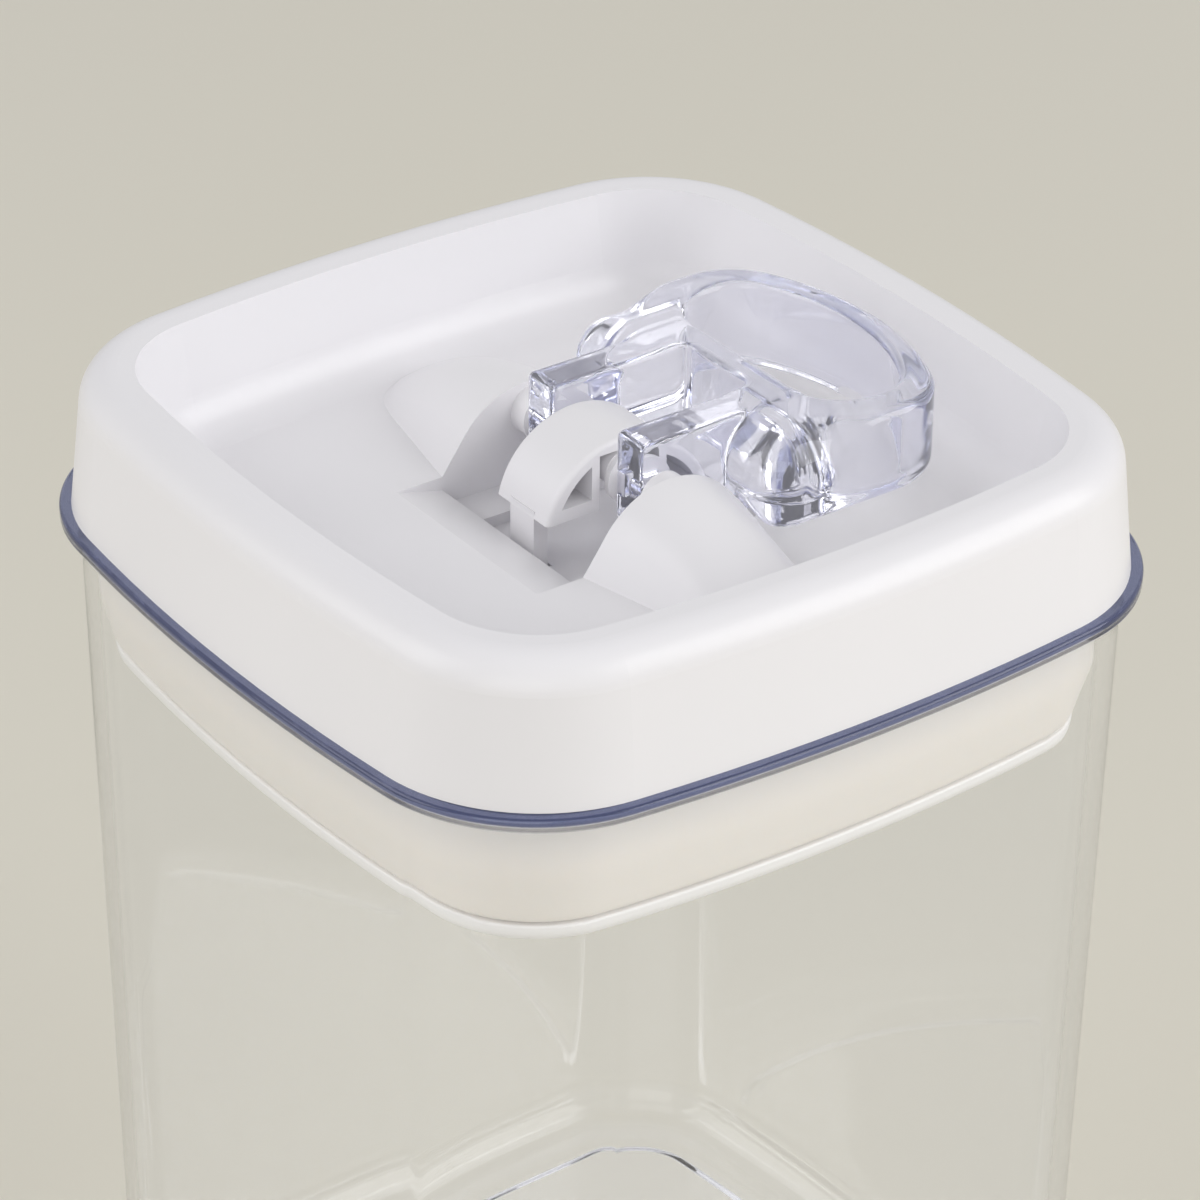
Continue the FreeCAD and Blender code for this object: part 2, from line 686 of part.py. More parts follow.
def in_hole(point):
    """Says whether a point lies on the finger hole's edge."""
    slack = 0.01
    return (hole_start.value - slack < point.x < hole_end.value + slack
            and abs(point.y) < hole_half.value + slack)


def on_outline(point):
    """Says whether a point lies on the lever's outer edge, outside the gap between the arms."""
    return not in_hole(point) and (abs(point.y) > arm_outer.value - 0.01 or point.x > hole_start.value)


def arch_outline(sketch):
    """Draws the yoke's arch: an arc and its level foot."""
    rise = yoke_foot.value - yoke_centre.value
    reach = math.sqrt(s.yoke_radius.value ** 2 - rise ** 2)
    lean = math.asin(rise / s.yoke_radius.value)
    centre = Vector(0, yoke_centre.value, 0)
    arc = sketch.addGeometry(Part.ArcOfCircle(
        Part.Circle(centre, Vector(0, 0, 1), s.yoke_radius.value), lean, math.pi - lean), False)
    foot = sketch.addGeometry(Part.LineSegment(
        Vector(-reach, yoke_foot.value, 0), Vector(reach, yoke_foot.value, 0)), False)
    sketch.addConstraint(Sketcher.Constraint("Coincident", arc, 2, foot, 1))
    sketch.addConstraint(Sketcher.Constraint("Coincident", foot, 2, arc, 1))
    sketch.addConstraint(Sketcher.Constraint("Horizontal", foot))
    fix(sketch, "Radius", s.yoke_radius, arc)
    place_point(sketch, arc, 3, ZERO, yoke_centre)
    fix(sketch, "DistanceY", yoke_foot, foot, 1)


def window_outline(sketch, side):
    """Draws one window of the yoke, between the arch's band, a web and a bar."""
    radius = s.yoke_radius - s.yoke_band
    across = s.yoke_slot + s.yoke_web
    level = yoke_foot + s.yoke_sill
    centre = Vector(0, yoke_centre.value, 0)
    far_x = math.sqrt(radius.value ** 2 - (level.value - yoke_centre.value) ** 2)
    top_z = yoke_centre.value + math.sqrt(radius.value ** 2 - across.value ** 2)
    low = math.atan2(level.value - yoke_centre.value, far_x)
    high = math.atan2(top_z - yoke_centre.value, across.value)
    ends = (low, high) if side > 0 else (math.pi - high, math.pi - low)
    arc = sketch.addGeometry(Part.ArcOfCircle(
        Part.Circle(centre, Vector(0, 0, 1), radius.value), *ends), False)
    web = sketch.addGeometry(Part.LineSegment(
        Vector(side * across.value, top_z, 0), Vector(side * across.value, level.value, 0)), False)
    bar = sketch.addGeometry(Part.LineSegment(
        Vector(side * across.value, level.value, 0), Vector(side * far_x, level.value, 0)), False)
    arc_top, arc_low = (2, 1) if side > 0 else (1, 2)
    sketch.addConstraint(Sketcher.Constraint("Coincident", arc, arc_top, web, 1))
    sketch.addConstraint(Sketcher.Constraint("Coincident", web, 2, bar, 1))
    sketch.addConstraint(Sketcher.Constraint("Coincident", bar, 2, arc, arc_low))
    sketch.addConstraint(Sketcher.Constraint("Vertical", web))
    sketch.addConstraint(Sketcher.Constraint("Horizontal", bar))
    fix(sketch, "Radius", radius, arc)
    place_point(sketch, arc, 3, ZERO, yoke_centre)
    place_point(sketch, bar, 1, side * across, level)


def is_arch_edge(middle, edge):
    """Says whether an edge is one of the two long edges of the yoke's arch."""
    return near(abs(middle.y), s.yoke_half) and middle.z > yoke_centre.value + s.yoke_radius.value / 2


SCREW_PLACES = [(x_side * s.screw_place, y_side * s.screw_place)
                for x_side in (-1, 1) for y_side in (-1, 1)]


# Container: clear, with a drafted wall, a thin flange round the mouth and a foot ring

container = new_body("container_body")
path = bowed_square(new_sketch(container, "mouth_plan", "XY_Plane"), s.rim_half, s.rim_corner)
wall_out = s.rim_half - s.flange_reach
foot_out = wall_out - s.wall_draft
foot_in = foot_out - s.base_radius - s.foot_width
ring_in = s.rim_half - s.floor_ring
section = new_sketch(container, "wall_section", "XZ_Plane")
outline(section, [
    (ring_in, s.base_recess),
    (foot_in - s.recess_run, s.base_recess),
    (foot_in, ZERO),
    (foot_out, ZERO, s.base_radius),
    (wall_out, rim_top - s.flange_height),
    (s.rim_half, rim_top - s.flange_height, s.flange_edge),
    (s.rim_half, rim_top, s.flange_edge),
    (mouth_half, rim_top),
    (foot_out - s.wall, s.base_recess + s.base_thickness, s.base_radius - s.wall / 2),
    (ring_in, s.base_recess + s.base_thickness),
])
sweep(container, path, section, "wall_sweep")
floor_plan = new_sketch(container, "floor_plan", "XY_Plane", s.base_recess)
bowed_square(floor_plan, ring_in + s.overlap, s.rim_corner - s.floor_ring + s.overlap)
pad(container, floor_plan, s.base_thickness, name="floor_pad")

# Lid shell: white, with a crest, a deep dish, a well for the yoke and a mound on each side of it

lid_shell = new_body("lid_shell")
path = bowed_square(new_sketch(lid_shell, "lid_plan", "XY_Plane"), lid_half, s.lid_corner)
dish_in = lid_half - s.dish_ring
section = new_sketch(lid_shell, "lid_section", "XZ_Plane")
outline(section, [
    (lid_half, rim_top),
    (crest_half, crest_top, s.crest_radius),
    (dish_half, crest_top - s.crest_drop),
    (dish_foot, dish_floor, s.dish_radius),
    (dish_in, dish_floor),
    (dish_in, dish_floor - s.shell),
    (dish_foot + s.shell, dish_floor - s.shell, s.dish_radius + s.shell),
    (dish_half + s.shell, crest_top - s.shell),
    (crest_half - s.shell, crest_top - s.shell, s.cavity_top),
    (lid_half - s.shell, rim_top),
])
sweep(lid_shell, path, section, "lid_sweep")
floor_plan = new_sketch(lid_shell, "dish_floor_plan", "XY_Plane", dish_floor - s.shell)
bowed_square(floor_plan, dish_in + s.overlap, s.lid_corner - s.dish_ring + s.overlap)
pad(lid_shell, floor_plan, s.shell, name="dish_floor_pad")
tray = new_sketch(lid_shell, "tray", "XY_Plane", well_underside)
rectangle(tray, -s.well_front - s.shell, s.well_back + s.shell, -mound_wall, mound_wall)
pad(lid_shell, tray, dish_floor - s.shell / 2 - well_underside, name="tray_pad")
for side, word in SIDES:
    mound(lid_shell, "PartDesign::AdditiveLoft", "mound_" + word, side, well_half, ZERO,
          len(MOUND_SHARES))
for side, word in SIDES:
    mound(lid_shell, "PartDesign::SubtractiveLoft", "mound_hollow_" + word, side, mound_wall,
          -s.shell, len(MOUND_SHARES) - 1)
well = new_sketch(lid_shell, "well", "XY_Plane", well_floor)
rectangle(well, -s.well_front, s.well_back, -well_half, well_half)
pocket(lid_shell, well, s.well_depth + s.cut_over, up=True, name="well_cut")
trough = new_sketch(lid_shell, "trough", "XY_Plane", trough_floor)
rectangle(trough, -s.well_front, s.well_back, -s.trough_half, s.trough_half)
pocket(lid_shell, trough, s.trough_depth + s.cut_over, up=True, name="trough_cut")
apron = new_sketch(lid_shell, "apron", "XZ_Plane")
outline(apron, [
    (-s.well_front - s.apron_run, dish_floor),
    (-s.well_front, dish_floor - s.apron_drop),
    (-s.well_front + s.overlap, dish_floor - s.apron_drop),
    (-s.well_front + s.overlap, dish_floor + s.cut_over),
    (-s.well_front - s.apron_run, dish_floor + s.cut_over),
])
pocket(lid_shell, apron, well_half * 2, both_ways=True, name="apron_cut")
leg_slots(lid_shell, "leg_slot", trough_floor + s.overlap, s.trough_wall + s.cut_over)
for side, word in SIDES:
    low, high = span(side, well_half - s.overlap, mound_wall + s.overlap)
    hole = new_sketch(lid_shell, "bush_hole_" + word, "XZ_Plane", -high)
    circle(hole, s.pivot_shift, pivot_height, sleeve_bore)
    pocket(lid_shell, hole, high - low, up=True, name="bush_hole_cut_" + word)
    low, high = span(side, mound_wall, head_end + s.keeper_play)
    room = new_sketch(lid_shell, "head_room_" + word, "XZ_Plane", -high)
    circle(room, s.pivot_shift, pivot_height, s.pin_head + s.head_room)
    pocket(lid_shell, room, high - low, up=True, name="head_room_cut_" + word)
    low, high = span(side, head_end, head_end + s.keeper_play + s.keeper_thickness + s.keeper_room)
    room = new_sketch(lid_shell, "keeper_room_" + word, "XY_Plane", pivot_height + s.keeper_room)
    keeper_side = s.keeper_half + s.keeper_room
    rectangle(room, s.pivot_shift - keeper_side, s.pivot_shift + keeper_side, low, high)
    pocket(lid_shell, room, s.pivot_rise + s.keeper_room, name="keeper_room_cut_" + word)
for number, (across, along) in enumerate(SCREW_PLACES, 1):
    boss = new_sketch(lid_shell, "boss_%d" % number, "XY_Plane", base_top)
    circle(boss, across, along, s.boss_radius)
    pad(lid_shell, boss, dish_floor - s.shell / 2 - base_top, name="boss_pad_%d" % number)
pilots = new_sketch(lid_shell, "pilots", "XY_Plane", base_top - s.overlap)
for across, along in SCREW_PLACES:
    circle(pilots, across, along, s.screw_radius + s.held_fit)
pocket(lid_shell, pilots, s.screw_reach + s.overlap, up=True, name="pilot_cut")

# Bushes: white, a collar towards the lever and a sleeve in the mound's wall

for side, word in SIDES:
    bush = new_body("bush_" + word)
    slab(bush, "collar", side, arm_outer + s.bush_play, well_half,
         lambda sketch: circle(sketch, s.pivot_shift, pivot_height, s.bush_collar))
    slab(bush, "sleeve", side, well_half, mound_wall,
         lambda sketch: circle(sketch, s.pivot_shift, pivot_height, s.bush_sleeve))
    slab_cut(bush, "bore", side, arm_outer - s.overlap, mound_wall + s.overlap,
             lambda sketch: circle(sketch, s.pivot_shift, pivot_height, s.pin_radius + s.held_fit))

# Pivot pins: steel, with a head inside the mound, held by the bushes and turning in the arms

for side, word in SIDES:
    pin = new_body("pivot_pin_" + word)
    slab(pin, "shank", side, arm_outer - s.pin_bury, head_end,
         lambda sketch: circle(sketch, s.pivot_shift, pivot_height, s.pin_radius))
    head = slab(pin, "head", side, mound_wall, head_end,
                lambda sketch: circle(sketch, s.pivot_shift, pivot_height, s.pin_head))
    tip = side * (arm_outer - s.pin_bury)
    chamfer = pin.newObject("PartDesign::Chamfer", "tip_chamfer")
    chamfer.Base = (head, edges_where(head, lambda middle, edge: near(middle.y, tip)))
    bind(chamfer, "Size", s.pin_chamfer)
    settle(chamfer)

# Lid base: white, closes the shell, holds the gasket's head, guides the plate, keeps the pins in

lid_base = new_body("lid_base")
path = bowed_square(new_sketch(lid_base, "brim_plan", "XY_Plane"), brim_half,
                    s.rim_corner - s.rim_half + brim_half)
collar_out = brim_half - s.collar_width
collar_in = collar_out - s.base_floor
base_in = brim_half - s.base_ring
section = new_sketch(lid_base, "base_section", "XZ_Plane")
outline(section, [
    (base_in, base_under),
    (collar_out, base_under),
    (collar_out, brim_under),
    (brim_half, brim_under),
    (brim_half, brim_top),
    (collar_in, brim_top),
    (collar_in, base_top),
    (base_in, base_top),
])
sweep(lid_base, path, section, "base_sweep")
floor_plan = new_sketch(lid_base, "base_floor_plan", "XY_Plane", base_under)
bowed_square(floor_plan, base_in + s.overlap, s.rim_corner - s.rim_half + base_in + s.overlap)
pad(lid_base, floor_plan, s.base_floor, name="base_floor_pad")
for side, word in SIDES:
    sleeve = new_sketch(lid_base, "sleeve_" + word, "XY_Plane", base_under - s.sleeve_depth)
    circle(sleeve, ZERO, side * s.guide_place, s.guide_radius + s.guide_fit + s.sleeve_wall)
    circle(sleeve, ZERO, side * s.guide_place, s.guide_radius + s.guide_fit)
    pad(lid_base, sleeve, s.sleeve_depth + s.base_floor / 2, name="sleeve_pad_" + word)
    keeper = new_sketch(lid_base, "keeper_" + word, "XY_Plane", base_top - s.base_floor / 2)
    rectangle(keeper, s.pivot_shift - s.keeper_half, s.pivot_shift + s.keeper_half,
              *span(side, head_end + s.keeper_play, head_end + s.keeper_play + s.keeper_thickness))
    pad(lid_base, keeper, pivot_height - base_top + s.base_floor / 2, name="keeper_pad_" + word)
leg_slots(lid_base, "base_slot", base_top + s.overlap, s.base_floor + s.overlap * 2)
screw_holes = new_sketch(lid_base, "screw_holes", "XY_Plane", base_top + s.overlap)
for across, along in SCREW_PLACES:
    circle(screw_holes, across, along, s.screw_hole)
pocket(lid_base, screw_holes, s.base_floor + s.overlap * 2, name="screw_hole_cut")

# Lever: clear, two arms, a crossbar and a finger ring, scooped out over the mounds

lever = new_body("lever")
half_plan = new_sketch(lever, "lever_plan", "XY_Plane", lever_low)
half_lever(half_plan)
lever_pad = pad(lever, half_plan, lever_top - lever_low, name="lever_pad")
whole = lever.newObject("PartDesign::Mirrored", "other_half")
whole.Originals = [lever_pad]
whole.MirrorPlane = (plane(lever, "XZ_Plane"), [""])
lever.Tip = whole
settle(whole)
top_round = fillet(lever, whole, lambda middle, edge: near(middle.z, lever_top)
                   and not in_hole(middle), s.lever_round, "top_round")
hole_top = fillet(lever, top_round, lambda middle, edge: near(middle.z, lever_top)
                  and in_hole(middle), s.lever_round, "hole_top")
hole_under = fillet(lever, hole_top, lambda middle, edge: near(middle.z, lever_low)
                    and in_hole(middle), s.lever_hole_under, "hole_under")
under_round = fillet(lever, hole_under, lambda middle, edge: near(middle.z, lever_low)
                     and on_outline(middle), s.lever_under, "under_round")
for side, word in SIDES:
    slab_cut(lever, "shoulder_round_" + word, side, arm_outer, head_half + s.cut_over, shoulder_over)
for side, word in SIDES:
    mound(lever, "PartDesign::SubtractiveLoft", "scoop_" + word, side,
          well_half - s.mound_gap, s.mound_gap, len(MOUND_SHARES))
for side, word in SIDES:
    slab_cut(lever, "pin_bore", side, arm_outer - s.pin_bury - s.running_fit, well_half,
             lambda sketch: circle(sketch, s.pivot_shift, pivot_height, pin_bore))
    slab_cut(lever, "peg_socket", side, s.arm_inner - s.overlap, s.arm_inner + s.peg_depth,
             lambda sketch: peg(sketch, s.held_fit))

# Cam axle: white, a round eccentric between two collars, with square pegs in the arms

cam_axle = new_body("cam_axle")
eccentric = new_sketch(cam_axle, "eccentric", "XZ_Plane")
circle(eccentric, s.pivot_shift - s.lift / 2, pivot_height + s.lift / 2, s.cam_radius)
pad(cam_axle, eccentric, collar_start * 2, both_ways=True, name="eccentric_pad")
for side, word in SIDES:
    slab(cam_axle, "axle_collar", side, collar_start, collar_end,
         lambda sketch: circle(sketch, s.pivot_shift, pivot_height, s.cam_collar))
    slab(cam_axle, "axle_peg", side, collar_end, s.arm_inner + s.peg_depth - s.running_fit,
         lambda sketch: peg(sketch, ZERO))

# Pull yoke: white, an arch over the eccentric with a leg each side that snaps into the plate

yoke = new_body("pull_yoke")
arch = new_sketch(yoke, "arch", "XZ_Plane")
arch_outline(arch)
arch_pad = pad(yoke, arch, s.yoke_half * 2, both_ways=True, name="arch_pad")
arch_round = fillet(yoke, arch_pad, is_arch_edge, s.yoke_edge, "arch_round")
slot = new_sketch(yoke, "cam_slot", "XZ_Plane")
rectangle(slot, -s.yoke_slot, s.yoke_slot, yoke_foot - s.overlap,
          pivot_height + s.lift / 2 + s.cam_radius + s.cam_gap)
pocket(yoke, slot, s.yoke_half * 2 + s.overlap, both_ways=True, name="cam_slot_cut")
for side, word in ((-1, "front"), (1, "back")):
    window = new_sketch(yoke, "window_" + word, "XZ_Plane")
    window_outline(window, side)
    pocket(yoke, window, s.yoke_half * 2 + s.overlap, both_ways=True, name="window_cut_" + word)
for side, word in ((-1, "front"), (1, "back")):
    leg = new_sketch(yoke, "leg_" + word, "XY_Plane", plate_top)
    rectangle(leg, *span(side, leg_inner, leg_outer), -s.leg_half, s.leg_half)
    pad(yoke, leg, yoke_foot + s.yoke_sill / 2 - plate_top, name="leg_pad_" + word)
    hook = new_sketch(yoke, "barb_" + word, "XZ_Plane")
    outline(hook, [
        (side * (leg_outer - s.leg_thickness / 2), plate_top + s.barb_lead),
        (side * leg_outer, plate_top + s.barb_lead),
        (side * (leg_outer + s.barb), plate_top + s.barb_lead + s.barb_rise),
        (side * (leg_outer - s.leg_thickness / 2), plate_top + s.barb_lead + s.barb_rise),
    ])
    pad(yoke, hook, s.leg_half * 2, both_ways=True, name="barb_pad_" + word)

# Pressure plate: white, squeezes the gasket from below, with sockets for the legs and two guides

pressure_plate = new_body("pressure_plate")
path = bowed_square(new_sketch(pressure_plate, "plate_plan", "XY_Plane"), plate_half,
                    s.rim_corner - s.rim_half + plate_half)
plate_in = plate_half - s.plate_ring
rib_out = lip_inner - s.locating_gap
section = new_sketch(pressure_plate, "plate_section", "XZ_Plane")
outline(section, [
    (plate_in, plate_top - s.plate_floor),
    (plate_half - s.plate_edge, plate_top - s.plate_floor),
    (plate_half - s.plate_edge, plate_under),
    (plate_half, plate_under, s.plate_round),
    (plate_half, plate_top, s.plate_round_top),
    (rib_out, plate_top),
    (rib_out, plate_top + s.locating_rib),
    (rib_out - s.locating_width, plate_top + s.locating_rib),
    (rib_out - s.locating_width, plate_top),
    (plate_in, plate_top),
])
sweep(pressure_plate, path, section, "plate_sweep")
floor_plan = new_sketch(pressure_plate, "plate_floor_plan", "XY_Plane", plate_top - s.plate_floor)
bowed_square(floor_plan, plate_in + s.overlap, s.rim_corner - s.rim_half + plate_in + s.overlap)
pad(pressure_plate, floor_plan, s.plate_floor, name="plate_floor_pad")
rib = new_sketch(pressure_plate, "rib_along", "XY_Plane", plate_top - s.plate_floor / 2)
rectangle(rib, -s.rib_reach, s.rib_reach, -s.rib_half, s.rib_half)
pad(pressure_plate, rib, s.rib_height + s.plate_floor / 2, name="rib_along_pad")
rib = new_sketch(pressure_plate, "rib_across", "XY_Plane", plate_top - s.plate_floor / 2)
rectangle(rib, -s.rib_half, s.rib_half, -s.rib_reach, s.rib_reach)
pad(pressure_plate, rib, s.rib_height + s.plate_floor / 2, name="rib_across_pad")
socket_in = leg_inner - s.socket_fit
socket_out = leg_outer + s.socket_fit
for side, word in ((-1, "front"), (1, "back")):
    socket = new_sketch(pressure_plate, "socket_" + word, "XY_Plane", plate_top - s.plate_floor / 2)
    socket_side = s.leg_half + s.socket_fit + s.socket_wall
    rectangle(socket, *span(side, socket_in - s.socket_wall, socket_out + s.socket_wall),
              -socket_side, socket_side)
    pad(pressure_plate, socket, s.socket_height + s.plate_floor / 2, name="socket_pad_" + word)
    room = new_sketch(pressure_plate, "socket_room_" + word, "XY_Plane", plate_top)
    socket_half = s.leg_half + s.socket_fit
    rectangle(room, *span(side, socket_in, socket_out), -socket_half, socket_half)
    pocket(pressure_plate, room, s.socket_height + s.overlap, up=True, name="socket_cut_" + word)
    window = new_sketch(pressure_plate, "barb_window_" + word, "XZ_Plane")
    rectangle(window, *span(side, socket_out - s.socket_fit, socket_out + s.socket_wall + s.overlap),
              plate_top + s.barb_lead - s.barb_play, plate_top + s.barb_lead + s.barb_rise + s.barb_play)
    pocket(pressure_plate, window, (s.leg_half + s.socket_fit) * 2, both_ways=True,
           name="barb_window_cut_" + word)
for side, word in SIDES:
    guide = new_sketch(pressure_plate, "guide_" + word, "XY_Plane", plate_top - s.plate_floor / 2)
    circle(guide, ZERO, side * s.guide_place, s.guide_radius)
    pad(pressure_plate, guide, s.guide_length + s.plate_floor / 2, name="guide_pad_" + word)
guide_bores = new_sketch(pressure_plate, "guide_bores", "XY_Plane", plate_top)
for side, word in SIDES:
    circle(guide_bores, ZERO, side * s.guide_place, s.guide_bore)
pocket(pressure_plate, guide_bores, s.guide_length + s.overlap, up=True, name="guide_bore_cut")

# Gasket: milky and soft, a hollow ring open to the inside, bulging where it nears the plate

gasket = new_body("gasket")
path = bowed_square(new_sketch(gasket, "gasket_plan", "XY_Plane"), seal_head,
                    s.rim_corner - s.rim_half + seal_head)
seal_middle = seal_head - s.seal_lean
straight_end = brim_under - s.seal_straight
toe = seal_head - s.seal_foot
section = new_sketch(gasket, "gasket_section", "XZ_Plane")
outline(section, [
    (lip_inner, brim_under - s.seal_skin),
    (lip_inner, brim_under),
    (seal_head, brim_under),
    (seal_middle, straight_end, s.seal_bulge),
    (toe, plate_top, s.seal_toe),
    (lip_inner, plate_top),
    (lip_inner, plate_top + s.seal_skin),
    (toe - s.seal_skin, plate_top + s.seal_skin, s.seal_toe),
    (seal_middle - s.seal_skin, straight_end, s.seal_bulge),
    (seal_head - s.seal_skin, brim_under - s.seal_skin, s.seal_corner),
])
sweep(gasket, path, section, "gasket_sweep")

# Base screws: four steel self-tapping screws, heads under the lid base

screws = new_body("base_screws")
screws.AllowCompound = True
shanks = new_sketch(screws, "shanks", "XY_Plane", base_under - s.screw_head_height / 2)
for across, along in SCREW_PLACES:
    circle(shanks, across, along, s.screw_radius)
shank_length = s.base_floor + s.screw_reach + s.screw_head_height / 2 - s.overlap / 2
pad(screws, shanks, shank_length, name="shank_pad")
heads = new_sketch(screws, "heads", "XY_Plane", base_under - s.screw_head_height)
for across, along in SCREW_PLACES:
    circle(heads, across, along, s.screw_head)
pad(screws, heads, s.screw_head_height, name="head_pad")
for word, half_x, half_y in (("along", s.recess_reach, s.recess_cross),
                             ("across", s.recess_cross, s.recess_reach)):
    cross = new_sketch(screws, "cross_" + word, "XY_Plane", base_under - s.screw_head_height)
    for across, along in SCREW_PLACES:
        rectangle(cross, across - half_x, across + half_x, along - half_y, along + half_y)
    pocket(screws, cross, s.recess_depth, up=True, name="cross_cut_" + word)

# Check every shape, then write each piece

doc.recompute()
for item in doc.Objects:
    if "Invalid" in item.State or "Error" in item.State:
        raise RuntimeError("%s is %s" % (item.Label, item.State))
os.makedirs("parts", exist_ok=True)
for item in [thing for thing in doc.Objects if thing.TypeId == "PartDesign::Body"]:
    if item.Shape.isNull() or not item.Shape.isValid():
        raise RuntimeError("%s has no valid shape" % item.Label)
    item.Shape.exportStep("parts/%s.step" % item.Label)
    print("%-18s %10.1f mm3, %d solid(s), %d faces" % (
        item.Label, item.Shape.Volume, len(item.Shape.Solids), len(item.Shape.Faces)))
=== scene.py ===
"""Square kitchen canister with a white flip lever lid, dressed for a picture.

The clear container stands on its base at the origin, +Z up. The lever lies flat and points along
+X, and the soft seal is squeezed against the wall. Sizes of the pieces are in millimetres, and
closed_mesh turns them into Blender's metres. Lamps, floor and camera are in metres.
"""
import math

import bmesh
import bpy
import numpy as np
from mathutils import Matrix, Vector


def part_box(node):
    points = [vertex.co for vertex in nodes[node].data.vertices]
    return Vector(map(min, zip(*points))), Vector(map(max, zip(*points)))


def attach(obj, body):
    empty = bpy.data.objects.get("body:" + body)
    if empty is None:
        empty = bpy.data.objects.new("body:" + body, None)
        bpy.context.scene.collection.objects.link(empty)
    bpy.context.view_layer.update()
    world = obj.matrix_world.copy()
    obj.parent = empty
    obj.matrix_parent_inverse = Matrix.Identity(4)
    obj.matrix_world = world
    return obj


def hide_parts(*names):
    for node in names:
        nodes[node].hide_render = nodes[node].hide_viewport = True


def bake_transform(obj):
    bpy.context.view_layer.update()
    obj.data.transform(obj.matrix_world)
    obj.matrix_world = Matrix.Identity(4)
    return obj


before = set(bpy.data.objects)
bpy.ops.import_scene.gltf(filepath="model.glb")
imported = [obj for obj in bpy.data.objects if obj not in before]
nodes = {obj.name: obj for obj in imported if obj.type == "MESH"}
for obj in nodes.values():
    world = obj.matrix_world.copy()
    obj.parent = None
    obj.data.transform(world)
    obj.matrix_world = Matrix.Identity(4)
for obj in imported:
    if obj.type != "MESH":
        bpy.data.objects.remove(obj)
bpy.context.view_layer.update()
MM = 0.001


# Container: clear moulded plastic, with thin slightly bowed walls that lean in towards the base,
# a flange round the mouth and a foot ring. It is drawn as one profile carried round its plan.

low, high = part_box("container_body")
RIM_HALF = high[0] / MM     # centre to the flange's edge, at the middle of a side
RIM_TOP = high[2] / MM
RIM_CORNER = 22.7           # corner radius of the flange, seen from above
SIDE_CURVE = 290.0          # radius of the bowed sides, seen from above
FLANGE_HEIGHT = 1.9
FLANGE_REACH = 2.4          # how far the flange stands out of the wall
FLANGE_EDGE = 0.5           # rounding of the flange's edges
WALL = 2.2
WALL_DRAFT = 2.1            # how much the wall leans in over its height
MOUTH_EDGE = 0.25           # rounding inside the mouth
BASE_RECESS = 0.8           # hollow under the floor, inside the foot ring
BASE_THICKNESS = 2.6
BASE_RADIUS = 6.0           # outer rounding at the base
BASE_HOLLOW = 4.9           # inner rounding at the base
FOOT_WIDTH = 3.5            # flat of the foot ring
FOOT_EDGE = 0.5             # rounding of the foot ring's inner edge
RECESS_RUN = 1.2            # slope between the foot ring and the hollow
FLOOR_RING = 16.0           # flange's edge to where the profile ends in the floor
PAINTED_SHADE_LOW = 130.9            # painted navy shade on the flange's edge starts at this height
PAINTED_SHADE_HIGH = 131.3           # and covers it fully from here up
WALL_CLEAR = (0.975, 0.98, 0.99)
# Painted shade: a dark navy on the flange's edge that stands in for the dark refraction the clear
# edge shows edge-on
EDGE_PAINTED_NAVY_SHADE = (0.08, 0.10, 0.24)

# The Mix node's sockets for its two colours and for their mix
COLOUR_ONE = 6
COLOUR_TWO = 7
COLOUR_OUT = 2


def bowed_square(half, corner, side_curve, side_steps=22, corner_steps=26):
    """Points round a square whose sides are shallow arcs, and the outward directions there.

    Each quarter is an arc of radius side_curve and then one of radius corner that meets it
    without a kink; the quarter is turned by 0, 90, 180 and 270 degrees."""
    setback = side_curve - half
    reach = (math.sqrt(2 * (side_curve - corner) ** 2 - setback ** 2) - setback) / 2
    turn = math.atan2(reach, reach + setback)
    side = np.linspace(-turn, turn, side_steps, endpoint=False)
    bend = np.linspace(turn, math.pi / 2 - turn, corner_steps, endpoint=False)
    angle = np.concatenate([side, bend])
    radius = np.concatenate([np.full(side_steps, side_curve), np.full(corner_steps, corner)])
    middle = np.concatenate([np.tile([-setback, 0.0], (side_steps, 1)),
                             np.tile([reach, reach], (corner_steps, 1))])
    outward = np.stack([np.cos(angle), np.sin(angle)], axis=1)
    quarter = middle + outward * radius[:, None]
    turns = [np.array([[math.cos(a), math.sin(a)], [-math.sin(a), math.cos(a)]])
             for a in np.arange(4) * math.pi / 2]
    points = np.concatenate([quarter @ t for t in turns])
    normals = np.concatenate([outward @ t for t in turns])
    return points, normals


def rounded(corners, step=0.22):
    """A profile through corners of half width, height and rounding.

    Each rounding is the circle that touches both runs, drawn from one tangent point to the
    other with one point for every step radians. A corner without a rounding stays sharp."""
    out = []
    count = len(corners)
    for i, corner in enumerate(corners):
        here = np.array(corner[:2], float)
        radius = corner[2] if len(corner) > 2 else 0.0
        if not radius:
            out.append(here[None])
            continue
        back = np.array(corners[i - 1][:2], float) - here
        ahead = np.array(corners[(i + 1) % count][:2], float) - here
        back /= np.linalg.norm(back)
        ahead /= np.linalg.norm(ahead)
        half_turn = math.acos(np.clip(back @ ahead, -1, 1)) / 2
        middle = here + (back + ahead) / np.linalg.norm(back + ahead) * radius / math.sin(half_turn)
        start = here + back * radius / math.tan(half_turn) - middle
        end = here + ahead * radius / math.tan(half_turn) - middle
        first = math.atan2(start[1], start[0])
        sweep = (math.atan2(end[1], end[0]) - first + math.pi) % (2 * math.pi) - math.pi
        angles = first + np.linspace(0, sweep, max(3, int(abs(sweep) / step) + 2))
        out.append(middle + radius * np.stack([np.cos(angles), np.sin(angles)], axis=1))
    return np.concatenate(out)


def split_runs(profile, longest):
    """The profile with its long runs cut into equal parts no longer than longest."""
    out = [profile[:1]]
    for start, end in zip(profile[:-1], profile[1:]):
        parts = max(1, math.ceil(np.linalg.norm(end - start) / longest))
        share = np.arange(1, parts + 1)[:, None] / parts
        out.append(start + (end - start) * share)
    return np.concatenate(out)


